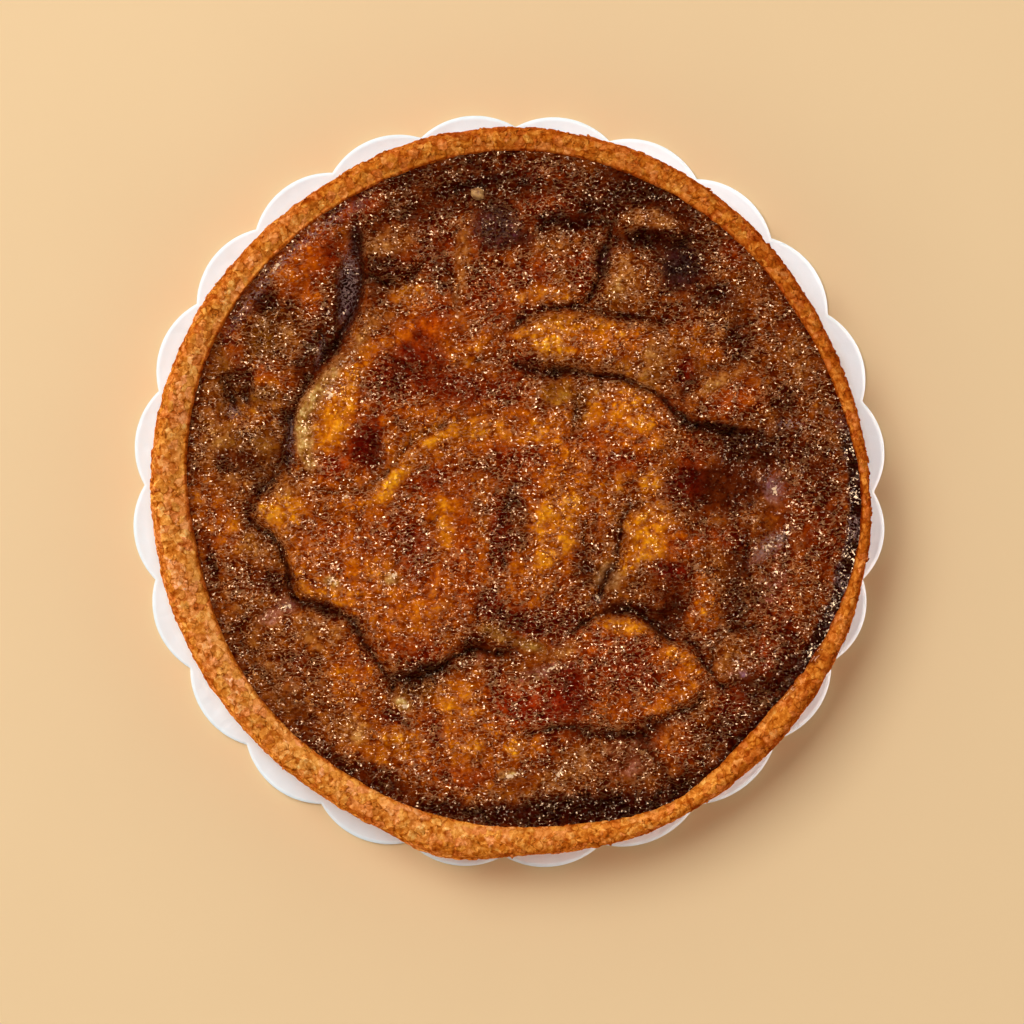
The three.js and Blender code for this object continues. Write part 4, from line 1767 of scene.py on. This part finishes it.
@dataclass
class Crust:
    """The shortcrust shell with its crumbly hand-pressed rim.

    Places along its section are counted in the spans between _section's points.
    """

    form: TartForm
    base: float
    steps: int = 1180
    rows_per_span: tuple[int, ...] = (2, 2, 2, 3, 6, 6, 5, 5, 5, 6, 6, 5, 5, 3, 2, 2)
    flare: float = 2.6
    foot_round: float = 2.2
    baked: float = 0.42
    edge_baked: float = 0.3
    finish: ShortcrustFinish = field(default_factory=ShortcrustFinish)

    def _section(self, bearing: Array) -> Array:
        """The crust's section at each bearing, as points of radius and height.

        Args:
            bearing: The bearings, in radians.

        Returns:
            An array of section points by bearings by radius and height.
        """
        form = self.form
        outer, lip = form.outline(bearing), form.rim(bearing)
        crest, rim = form.crest(bearing), outer - lip
        level = form.edge_level(bearing)
        foot = outer - self.flare
        zero = np.zeros_like(bearing)
        inner_ledge = smooth(8.0, 13.0, rim)
        return np.array(
            [
                (foot - 9, zero),
                (foot - self.foot_round, zero),
                (foot - 0.5, zero + 0.5),
                (foot, zero + self.foot_round),
                (outer - 0.9, crest * 0.32),
                (outer - 0.35, crest * 0.58),
                (outer, crest * 0.78),
                (outer - rim * 0.1, crest * 0.92),
                (outer - rim * 0.25, crest * 0.985),
                (outer - rim * 0.45, crest),
                (outer - rim * 0.68, crest * mix(0.972, 0.965, inner_ledge)),
                (outer - rim * 0.86, mix(crest * 0.93, crest * 0.915, inner_ledge)),
                (lip - 0.1, mix(level, crest, 0.28)),
                (lip - 0.7, level - 1.2),
                (lip - 1.2, zero + form.crust_floor + 11),
                (lip - 2.6, zero + form.crust_floor + 2.4),
                (lip - 6.0, zero + form.crust_floor),
            ]
        ).transpose(0, 2, 1)

    def _rows(self, section: Array) -> tuple[Array, Array]:
        """Rounds the section through its points.

        Args:
            section: What _section gives.

        Returns:
            The rows of points, and how far along the section each row is, in spans.
        """
        knots = extended(section)
        rows, at = [], []
        for i, count in enumerate(self.rows_per_span):
            for t in np.arange(count) / count:
                rows.append(rounded(*knots[i : i + 4], t))
                at.append(i + t)
        rows.append(section[-1])
        at.append(len(self.rows_per_span))
        return np.array(rows), np.array(at)

    def build(self) -> bpy.types.Object:
        """Builds the crust as one closed shell with its crumb in relief.

        Returns:
            The crust's object.
        """
        bearing = np.arange(self.steps) / self.steps * 2 * math.pi
        rows, at = self._rows(self._section(bearing))
        radius, height = rows[..., 0], rows[..., 1]
        around = np.broadcast_to(bearing, radius.shape)
        at = np.broadcast_to(at[:, None], radius.shape)
        u = around * self.form.crust_radius
        lengths = np.hypot(np.diff(radius, axis=0), np.diff(height, axis=0)).mean(1)
        v = np.broadcast_to(np.concatenate([[0], np.cumsum(lengths)])[:, None], radius.shape)

        points = polar(radius, around, height)
        along = np.roll(points, -1, 1) - np.roll(points, 1, 1)
        normal = np.cross(along, np.gradient(points, axis=0))
        normal /= np.linalg.norm(normal, axis=-1, keepdims=True)
        points = points + normal * self._relief(u, v, at)[..., None]
        points[..., 2] = np.maximum(points[..., 2], 0.0)
        hubs = np.array([[0, 0, 0.0], [0, 0, self.form.crust_floor]])
        grid = np.concatenate([points.reshape(-1, 3), hubs]) + (self.form.offset, 0, self.base)
        faces = shell_faces(len(rows), self.steps)
        made = make_mesh("shortcrust_shell", grid * MM, faces, self.finish.build())
        kept = {
            "toast": self._toast(around, at),
            "syrup": self._syrup(around, at, u, v),
            "worn": self._worn(around, at, u, v),
            "scar": strongest(SCARS, points[..., 0], points[..., 1]) * smooth(6.0, 7.4, at),
            "crumbs": smooth(6.2, 7.8, at) * (1 - smooth(10.2, 11.0, at)),
        }
        for name, values in kept.items():
            store(made, name, np.concatenate([values.ravel(), np.zeros(len(hubs))]))
        return made

    def _relief(self, u: Array, v: Array, at: Array) -> Array:
        """How far the crumb stands out from the section, in millimetres.

        Args:
            u: Distance around.
            v: Distance along the section.
            at: How far along the section, in spans.

        Returns:
            The relief at each point.
        """
        turn = 2 * math.pi * self.form.crust_radius
        shown = smooth(2.5, 4.5, at) * (1 - smooth(12.6, 13.4, at))

        def periodic(cells: int, seed: int) -> Noise:
            """Noise that closes on itself around the crust."""
            return Noise(turn / cells, seed, cells)

        wander = 1.3 * periodic(190, 43).fractal(u, v, 2)
        sway = 1.3 * periodic(190, 47).fractal(u, v, 2)
        near, second, own = periodic(250, 11).cells(u + wander, v + sway)
        plates = 0.5 * own * smooth(0.0, 0.3, second - near)
        fine, _, fine_own = periodic(560, 13).cells(u + sway, v + wander)
        grit = (1 - smooth(0.0, 0.8, fine)) * fine_own
        lumps = periodic(130, 17).fractal(u, v, 3)
        dents = periodic(46, 19).fractal(u, v, 2)
        pits = np.maximum(periodic(220, 23).value(u, v) - 0.6, 0)
        relief = plates + 0.18 * grit + 0.36 * lumps + 0.5 * dents - 1.2 * pits
        calm = 1 - 0.6 * smooth(10.2, 11.2, at)
        return shown * calm * (relief - 0.3)

    def _toast(self, around: Array, at: Array) -> Array:
        """How brown the crust has baked, with painted shade on the inner wall.

        Args:
            around: The bearing of each point.
            at: How far along the section it is, in spans.

        Returns:
            Numbers from 0 to 1.
        """
        toast = self.baked + self.edge_baked * np.exp(-(((at - 7.0) / 1.3) ** 2))
        for swell in TOASTS:
            toast = toast + swell.reach(around)
        wall = 1 - smooth(3.0, 6.0, at)
        # Painted shade: the inner wall is browner all round, most on the left, where the rim shades it.
        inner = smooth(11.3, 12.0, at) * (0.25 + Swell(160, 60, 0.6).reach(around))
        return np.clip(toast + 0.1 * wall + inner, 0, 1)

    def _syrup(self, around: Array, at: Array, u: Array, v: Array) -> Array:
        """Where syrup has boiled over onto the rim's inner edge, and the seam with the filling, darkened all
        round as syrup and painted shade.

        Args:
            around: The bearing of each point.
            at: How far along the section it is, in spans.
            u: Its distance around.
            v: Its distance along the section.

        Returns:
            Numbers from 0 to 1.
        """
        # Painted shade and syrup: the seam where the crust meets the filling is darkened all round.
        seam_shade = smooth(12.1, 12.8, at)
        spill = Swell(330, 9, 1.0).reach(around) * smooth(9.6, 11.2, at)
        right = Swell(348, 26, 0.8).reach(around) * smooth(11.3, 12.3, at)
        blot = smooth(-0.1, 0.5, Noise(5.0, 51).value(u, v))
        return np.clip(0.75 * seam_shade + spill * blot + right, 0, 1)

    def _worn(self, around: Array, at: Array, u: Array, v: Array) -> Array:
        """Where the rim's inner ledge has been rubbed smooth.

        Args:
            around: The bearing of each point.
            at: How far along the section it is, in spans.
            u: Its distance around.
            v: Its distance along the section.

        Returns:
            Numbers from 0 to 1.
        """
        ledge = smooth(9.9, 10.7, at) * smooth(12.0, 11.5, at)
        patchy = smooth(-0.5, 0.1, Noise(9.0, 49).value(u, v))
        return ledge * (0.35 + Swell(235, 60, 0.65).reach(around)) * patchy


@dataclass
class Filling:
    """The baked filling: one body with a folded, creased and grainy skin.

    Each channel of the skin's colour is carried away from the anchor by its own parting.
    """

    form: TartForm
    base: float
    rings: int = 164
    tuck: float = 0.5
    fold_gain: float = 1.2
    ragged: float = 0.36
    # The colour of the painted shade in the creases.
    crease_shade_colour: Triple = linear(54, 16, 3)
    shift_spread: Triple = (1.6, 2.5, 3.5)
    # How far painted light and shade, and random tone, move each channel.
    shade_and_tone_spread: Triple = (0.3, 0.5, 0.8)
    anchor: Triple = linear(126, 71, 19)
    parting: Triple = (0.09, 0.42, 0.6)
    darkest: float = 0.0008
    wall: tuple[Pair, ...] = ((1.0, 17.5), (2.0, 10.0), (3.2, 6.6), (6.0, 4.4))
    finish: BakedSkinFinish = field(default_factory=BakedSkinFinish)

    def _plan(self) -> tuple[Array, Array]:
        """Lays out the skin's points in plan: ring k of the disc holds 6k points.

        Returns:
            The points' x and their y.
        """
        xs, ys = [np.zeros(1)], [np.zeros(1)]
        for ring in range(1, self.rings + 1):
            bearing = np.arange(6 * ring) / (6 * ring) * 2 * math.pi
            radius = ring / self.rings * (self.form.rim(bearing) + self.tuck)
            xs.append(radius * np.cos(bearing))
            ys.append(radius * np.sin(bearing))
        return np.concatenate(xs), np.concatenate(ys)

    def _skin_faces(self) -> Array:
        """Joins the rings of the plan by triangles.

        Returns:
            One row of three corner numbers for each triangle.
        """
        faces = []
        for ring in range(1, self.rings + 1):
            outer_start = 1 + 3 * ring * (ring - 1)
            inner_start = 1 + 3 * (ring - 1) * (ring - 2)
            sixth, i = np.meshgrid(np.arange(6), np.arange(ring), indexing="ij")
            sixth, i = sixth.ravel(), i.ravel()
            out, into = sixth * ring + i, sixth * (ring - 1) + i
            outer = outer_start + out % (6 * ring)
            after = outer_start + (out + 1) % (6 * ring)
            if ring == 1:
                faces.append(np.stack([np.zeros_like(outer), outer, after], -1))
                continue
            inner = inner_start + into % (6 * (ring - 1))
            inner_after = inner_start + (into + 1) % (6 * (ring - 1))
            faces.append(np.stack([inner, outer, after], -1))
            gap = i < ring - 1
            faces.append(np.stack([inner, after, inner_after], -1)[gap])
        return np.concatenate(faces)

    def _folds(self, x: Array, y: Array) -> tuple[Array, Array, Array]:
        """The folds of the skin.

        Args:
            x: Places' x, in millimetres.
            y: Places' y.

        Returns:
            The height of the folds, the painted shade in and beside each crease, and
            how far up on a fold's lip, the last two from 0 to 1.
        """
        swelling = sum(lobe.height(x, y) for lobe in LOBES)
        cut, lip, shade = np.zeros_like(x), np.zeros_like(x), np.zeros_like(x)
        uneven = 0.85 + 0.45 * Noise(8.0, 101).fractal(x, y, 2)
        wide = 0.6 + 0.9 * smooth(-0.5, 0.6, Noise(12.0, 103).value(x, y))
        for crease in CREASES:
            signed, away, along = crease.across(x, y)
            ends = smooth(0, 0.1, along) * (1 - smooth(0.9, 1.0, along)) * 0.75 + 0.25
            strong = ends * uneven
            on_side = signed * (np.sign(crease.lip) or -1.0)
            slope = np.where(on_side > 0, 0.15, 0.42) * np.exp(-((away / 4.4) ** 2))
            notch = 0.7 * np.exp(-((away / (crease.width * 0.8 * wide)) ** 2))
            cut = np.maximum(cut, crease.depth * strong * (notch + slope))
            # Painted shade: dark in the crease and softly darker on its low side.
            dark = 0.66 * np.exp(-((away / (crease.width * 0.9 * wide)) ** 2))
            dark += np.where(on_side > 0, 0.12, 0.5) * np.exp(-((away / 3.6) ** 2))
            shade = np.maximum(shade, min(crease.depth / 2, 1) * strong * dark)
            raised = abs(crease.lip) * strong * np.exp(-(((on_side - 3.4) / 2.8) ** 2))
            lip = np.maximum(lip, np.where(on_side > 0, raised, 0))
        return self.fold_gain * swelling - cut + self.fold_gain * lip, shade, lip

    @staticmethod
    def _syrup(x: Array, y: Array, inset: Array, bearing: Array) -> Array:
        """Where syrup has gathered along the rim.

        Args:
            x: Places' x.
            y: Places' y.
            inset: Distance in from the rim.
            bearing: The bearing.

        Returns:
            Numbers from 0 to 1.
        """
        side = smooth(0.35, 0.6, Swell(350, 24, 1.0).reach(bearing))
        return side * smooth(5.4, 3.6, inset + 1.2 * Noise(9.0, 59).value(x, y))

    @staticmethod
    def _swell(x: Array, y: Array, warp_x: Array, warp_y: Array) -> Array:
        """The skin's own unevenness between its folds: rolls, knobs, wrinkles and ruts.

        Args:
            x: Places' x.
            y: Places' y.
            warp_x: The same x, wandering a little.
            warp_y: The same y, wandering a little.

        Returns:
            How far each place stands out, in millimetres.
        """
        wrinkles = np.exp(-((Noise(11.0, 61).fractal(warp_x, warp_y, 3) / 0.07) ** 2))
        ruts = np.exp(-((Noise(6.0, 67).fractal(x, y * 1.3, 2) / 0.09) ** 2))
        knob, _, knob_own = Noise(6.5, 69).cells(warp_x, warp_y)
        knobs = (1 - smooth(0.0, 0.9, knob)) * (0.35 + knob_own)
        roll = Noise(14.0, 79).fractal(x, y, 3)
        knobby = 0.35 + 0.65 * smooth(0.8, 1.1, Oval(-34, -14, 96, 70, -18).outness(x, y))
        bumps = Noise(4.4, 75).fractal(warp_x, warp_y, 2)
        return 0.5 * roll + 0.55 * knobby * (knobs - 0.4) - 0.5 * wrinkles - 0.35 * ruts + 0.25 * bumps

    def skin(self, x: Array, y: Array) -> tuple[Array, dict[str, Array]]:
        """The skin's height and what it is like at each place.

        Args:
            x: Places' x, in millimetres from the tart's middle.
            y: Places' y.

        Returns:
            The height above the crust's underside, and the attributes by name.
        """
        form = self.form
        radius, bearing = np.hypot(x, y), np.arctan2(y, x)
        edge = form.rim(bearing)
        inset = edge - radius
        warp_x = x + 1.5 * Noise(9.0, 3).fractal(x, y, 3)
        warp_y = y + 1.5 * Noise(9.0, 5).fractal(x, y, 3)
        folds, crease_shade, lip = self._folds(warp_x, warp_y)
        calm = smooth(0, form.edge_calm, inset)
        pulled = smooth(edge - form.edge_pull, edge, radius)
        level = mix(form.filling_level, form.edge_level(bearing), pulled)
        crown = form.filling_crown * (1 - (radius / edge) ** 2)

        grainy = np.ones_like(x)
        for oval in CALMS:
            grainy *= 1 - oval.strength * oval.cover(warp_x, warp_y)
        syrup = self._syrup(x, y, inset, bearing)
        slick = np.maximum(strongest(SLICKS, warp_x, warp_y), syrup)
        # Painted sheen along the rim at the back left, and over the syrup at the right.
        rim_sheen_side = smooth(0.1, 0.5, Swell(134, 14, 1.0).reach(bearing))
        painted_sheen = 0.9 * rim_sheen_side * np.exp(-(((inset - 3.6) / 1.5) ** 2))
        painted_sheen = np.maximum(painted_sheen, syrup * smooth(0.1, 0.5, Noise(6.0, 57).fractal(x, y, 2)))
        # Painted highlights: pale spots on the folds.
        highlight_spot = np.zeros_like(x)
        for oval in HIGHLIGHT_SPOTS:
            highlight_spot = np.maximum(highlight_spot, smooth(1.5, 0.2, oval.outness(x, y)))

        near, _, own = Noise(2.3, 71).cells(x, y)
        clumps = (1 - smooth(0.0, 0.8, near)) * (0.3 + own)
        grit = Noise(1.4, 73).value(x, y)
        swell = self._swell(x, y, warp_x, warp_y)
        relief = swell + grainy * (0.16 * clumps + 0.03 * grit)
        ragged = 0.5 + 0.6 * Noise(3.6, 77).fractal(x, y, 2)
        meniscus = ragged * smooth(3.0, 0.0, inset)
        height = level + crown + calm * folds + relief * smooth(-1, 3, inset) + meniscus

        patches = smooth(-0.25, 0.45, Noise(8.0, 81).fractal(x, y, 3))
        strewn = 0.12 + 0.9 * patches * smooth(-0.9, 0.7, swell)
        # Painted light and shade: rises and clumps of the skin are painted lighter, its hollows darker.
        rise_shading = 1.1 * swell + grainy * (0.4 * clumps - 0.16)
        tint = self._tint(warp_x, warp_y, inset, bearing, crease_shade, lip, rise_shading, syrup)
        tint = tint * np.clip(tint / self.anchor, 0.3, 3.0) ** np.array(self.parting)
        strewn = strewn * (0.25 + 0.95 * smooth(0.02, 0.2, tint[:, 0]))
        return height, {
            "tint": tint,
            "slick": slick,
            "painted_sheen": np.maximum(painted_sheen, strongest(PAINTED_SHEENS, warp_x, warp_y)),
            "highlight_spot": highlight_spot,
            "grainy": np.clip(grainy, 0.12, 1),
            "grains": np.clip(grainy * strewn * smooth(0.5, 3.0, inset) * (1 - 0.7 * slick), 0, 1),
        }

    def _tint(
        self,
        x: Array,
        y: Array,
        inset: Array,
        bearing: Array,
        crease: Array,
        lip: Array,
        rise_shading: Array,
        syrup: Array,
    ) -> Array:
        """The skin's colour at each place: baked tones, with painted light and shade.

        Args:
            x: Places' x, already wandering a little.
            y: Places' y.
            inset: Distance in from the rim.
            bearing: The bearing.
            crease: The painted shade of the creases at the place.
            lip: How far up a fold's lip it is; raised lips are painted lighter.
            rise_shading: How far it stands out of its surroundings, painted lighter on rises and darker in
                hollows.
            syrup: How much of it is under the syrup that has gathered at the rim.

        Returns:
            One row of linear red, green and blue for each place.
        """
        ragged = self.ragged * Noise(6.0, 83).fractal(x, y, 4)
        tint = np.tile(np.array(Tone.BROWN.light()), (len(x), 1))
        for stain in STAINS:
            cover = stain.strength * stain.cover(x, y, ragged)
            tint = mix(tint, np.array(stain.tone.light()), cover[:, None])
        # Darker towards the rim all round, most at the lower right.
        rim_darkening = smooth(4.5, 0.6, inset) * (0.4 + Swell(318, 40, 0.6).reach(bearing))
        tint = mix(tint, np.array(Tone.DARK.light()), np.clip(rim_darkening, 0, 1)[:, None])
        # Patches darker than their tones, or lighter where their strength is below 0.
        baked = sum(patch.strength * patch.cover(x, y, ragged) for patch in TONE_SHIFTS)
        tint = tint * np.exp(-baked[:, None] * self.shift_spread)
        # Painted shade in and beside the creases.
        tint = mix(tint, np.array(self.crease_shade_colour), np.clip(crease, 0, 0.9)[:, None])
        tint = mix(tint, np.array(Tone.PLUM.light()), 0.85 * syrup[:, None])
        # Painted light on rises and raised lips, painted shade in hollows, and tone that varies at random.
        depth = rise_shading + 0.5 * np.clip(lip, 0, 1) + 0.4 * Noise(4.0, 89).fractal(x, y, 3)
        tint = tint * np.exp(np.clip(depth, -2.0, 1.6)[:, None] * self.shade_and_tone_spread)
        return np.clip(tint, self.darkest, 1)

    def build(self) -> bpy.types.Object:
        """Builds the filling down to the crust's floor.

        Returns:
            The filling's object.
        """
        x, y = self._plan()
        height, kept = self.skin(x, y)
        count = len(x)
        around = 6 * self.rings
        bearing = np.arange(around) / around * 2 * math.pi
        rings = [np.arange(around) + count - around]
        sides = []
        for i, (inwards, level) in enumerate(self.wall):
            sides.append(polar(self.form.rim(bearing) - inwards, bearing, np.full(around, level)))
            rings.append(count + i * around + np.arange(around))
        skin = np.stack([x, y, height], -1)
        grid = np.concatenate([skin, *sides, [[0, 0, self.wall[-1][1]]]])
        grid += (self.form.offset, 0, self.base)
        walls = []
        for upper, lower in zip(rings, rings[1:]):
            walls.append(np.stack([upper, lower, np.roll(lower, -1), np.roll(upper, -1)], -1))
        faces = [self._skin_faces(), *walls, fan_faces(len(grid) - 1, rings[-1], flip=True)]
        made = make_mesh("baked_filling", grid * MM, faces, self.finish.build())
        spare = len(grid) - count
        for name, values in kept.items():
            hidden = np.zeros(spare) if values.ndim == 1 else np.tile(Tone.UMBER.light(), (spare, 1))
            store(made, name, np.concatenate([values, hidden]))
        return made


@dataclass
class Toppings:
    """What lies loose: crumbs on the rim, sugar grains on the skin, and one nut crumb."""

    form: TartForm
    base: float
    nut_at: Pair = (-12.4, 100.2)
    nut_size: Triple = (3.6, 3.1, 2.2)
    nut_rise: float = 0.5

    def crumbs(self, crust: bpy.types.Object) -> bpy.types.Object:
        """Strews pastry crumbs over the rim."""
        scatter = Scatter("rim_crumbs", 0.14, 0.7, 1.7, 0.15, 2, 5, "crumbs", 0.6)
        return scatter.strew(crust, ShortcrustFinish(name="loose_crumb").build())

    def grains(self, filling: bpy.types.Object) -> bpy.types.Object:
        """Strews caramelised sugar grains over the skin."""
        scatter = Scatter("sugar_grains", 0.5, 0.35, 0.9, 0.05, 1, 9, "grains")
        return scatter.strew(filling, GranuleFinish().build())

    def nut(self, filling: Filling) -> bpy.types.Object:
        """Sets the pale nut crumb into the dark skin near the back of the rim.

        Args:
            filling: The filling that it lies on.

        Returns:
            The nut crumb's object.
        """
        mesh = bpy.data.meshes.new("nut_crumb_ball")
        ball = bmesh.new()
        bmesh.ops.create_icosphere(ball, subdivisions=4, radius=0.5)
        ball.to_mesh(mesh)
        ball.free()
        points = np.empty(len(mesh.vertices) * 3)
        mesh.vertices.foreach_get("co", points)
        points = points.reshape(-1, 3)
        chop = np.sign(points) * np.abs(points) ** 0.7
        u, v = points[:, 0] * 2 + points[:, 2], points[:, 1] * 2 - points[:, 2]
        rough = 1 + 0.25 * Noise(0.5, 97).fractal(u, v, 3)
        x, y = self.nut_at
        top = filling.skin(np.array([x]), np.array([y]))[0][0]
        shape = chop * rough[:, None] * self.nut_size
        shape += (self.form.offset + x, y, self.base + top + self.nut_rise)
        mesh.vertices.foreach_set("co", (shape * MM).ravel())
        mesh.polygons.foreach_set("use_smooth", np.ones(len(mesh.polygons), bool))
        mesh.materials.append(NutFinish().build())
        made = bpy.data.objects.new("nut_crumb", mesh)
        bpy.context.scene.collection.objects.link(made)
        return made


@dataclass(frozen=True)
class Lamp:
    """A studio light: the way it lies, how far off, how large and how strong.

    A filling light shows on matt surfaces only, and a glinting one only in gloss.
    """

    name: str
    azimuth: float
    elevation: float
    distance: float
    size: float
    power: float
    colour: Triple
    glints: bool = False

    def build(self) -> bpy.types.Object:
        """Hangs the light and aims it at the tart.

        Returns:
            The light's object.
        """
        data = bpy.data.lights.new(self.name, "AREA")
        data.shape = "SQUARE"
        data.size = self.size
        data.energy = self.power
        data.color = self.colour
        lamp = bpy.data.objects.new(self.name, data)
        lamp.visible_diffuse = not self.glints
        lamp.visible_glossy = self.glints
        bpy.context.scene.collection.objects.link(lamp)
        around, up = math.radians(self.azimuth), math.radians(self.elevation)
        reach = self.distance * math.cos(up)
        lamp.location = (reach * math.cos(around), reach * math.sin(around), self.distance * math.sin(up))
        lamp.rotation_euler = (-lamp.location).to_track_quat("-Z", "Y").to_euler()
        return lamp


@dataclass
class Studio:
    """The pale table, the soft light from the back left, and the camera overhead."""

    rim_level: float
    camera_height: float = 1.073
    frame_width: float = 0.344
    sensor: float = 36.0
    look_x: float = 0.001
    look_y: float = -0.00706
    table_size: float = 6.0
    ambient: float = 1.3
    walls: Triple = (0.92, 0.81, 0.70)
    ceiling: Triple = (0.03, 0.03, 0.03)

    def build(self) -> bpy.types.Object:
        """Builds the whole studio.

        Returns:
            The table, which isn't part of the tart.
        """
        for lamp in (
            Lamp("softbox", 138, 54, 3.0, 1.7, 64.0, (1.0, 1.0, 1.0)),
            Lamp("key_glint", 138, 53, 3.0, 0.9, 122.0, (1.0, 0.66, 0.4), glints=True),
            Lamp("high_glint", 105, 72, 3.0, 0.5, 15.0, (1.0, 0.76, 0.6), glints=True),
            Lamp("low_sheen", 120, 32, 3.0, 1.2, 5.0, (1.0, 0.76, 0.6), glints=True),
        ):
            lamp.build()
        self._room()
        bpy.context.scene.view_settings.view_transform = "Standard"
        self._camera()
        return self._table()

    def lift(self, paper: bpy.types.Object, crust: bpy.types.Object) -> None:
        """Throws light back onto the paper alone: warm on its shaded side, cool from above.

        Args:
            paper: The paper, which these lamps light.
            crust: The crust, which shades them.
        """
        lit = bpy.data.collections.new("lit_by_cards")
        lit.objects.link(paper)
        shading = bpy.data.collections.new("shading_cards")
        shading.objects.link(crust)
        for lamp in (
            Lamp("card", -8, 26, 0.4, 0.12, 0.66, (1.0, 0.74, 0.66)),
            Lamp("veil", 90, 80, 3.0, 1.0, 15.0, (0.2, 0.8, 1.0)),
        ):
            linking = lamp.build().light_linking
            linking.receiver_collection = lit
            linking.blocker_collection = shading

    def _room(self) -> None:
        """Lights the room softly and warmly from its sides, with a dark ceiling."""
        world = bpy.data.worlds.new("soft_room")
        world.use_nodes = True
        world.node_tree.nodes.clear()
        sheet = Sheet(world.node_tree)
        way = sheet.add("ShaderNodeTexCoord").outputs["Generated"]
        upward = sheet.add("ShaderNodeSeparateXYZ", {0: way}).outputs[2]
        glow = sheet.blend(sheet.span(upward, 0.3, 0.8), self.walls, self.ceiling)
        light = sheet.add("ShaderNodeBackground", {0: glow, 1: self.ambient})
        sheet.add("ShaderNodeOutputWorld", {0: light.outputs[0]})
        world.cycles_visibility.glossy = False
        bpy.context.scene.world = world

    def _camera(self) -> None:
        """Hangs the camera straight above the tart."""
        data = bpy.data.cameras.new("overhead")
        data.sensor_width = self.sensor
        data.lens = self.sensor * self.camera_height / self.frame_width
        camera = bpy.data.objects.new("overhead", data)
        camera.location = (self.look_x, self.look_y, self.rim_level + self.camera_height)
        bpy.context.scene.collection.objects.link(camera)
        bpy.context.scene.camera = camera

    def _table(self) -> bpy.types.Object:
        """Makes the table top, one square face."""
        half = self.table_size / 2
        corners = np.array([(-half, -half, 0), (half, -half, 0), (half, half, 0), (-half, half, 0)], float)
        return make_mesh("table_top", corners, [np.array([[0, 1, 2, 3]])], TableFinish().build())


def settle(piece: bpy.types.Object, slot: str, *nodes: str) -> None:
    """Ties a finished piece to the tart.

    Args:
        piece: The piece.
        slot: The record's material slot that it belongs to.
        nodes: The solids that it stands for, if any.
    """
    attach(piece, "root")
    if nodes:
        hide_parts(*nodes)
    triangles = sum(len(polygon.vertices) - 2 for polygon in piece.data.polygons)
    LOG.info("%s: %d triangles, rides on root, slot %s", piece.name, triangles, slot)


def main() -> None:
    """Builds the tart's pieces in order and reports each."""
    logging.basicConfig(level=logging.INFO, format="%(message)s", stream=sys.stdout)
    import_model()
    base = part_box("crust")[0].z / MM
    rim_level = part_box("crust")[1].z

    studio = Studio(rim_level)
    studio.build()

    paper = PaperRound().build()
    settle(paper, "paper", "paper_round")
    form = TartForm()
    crust = Crust(form, base).build()
    studio.lift(paper, crust)
    settle(crust, "shortcrust", "crust")
    filling = Filling(form, base)
    skin = filling.build()
    settle(skin, "baked_filling", "filling")
    toppings = Toppings(form, base)
    settle(toppings.crumbs(crust), "shortcrust")
    settle(toppings.grains(skin), "baked_filling")
    settle(toppings.nut(filling), "baked_filling")


if __name__ == "__main__":
    main()
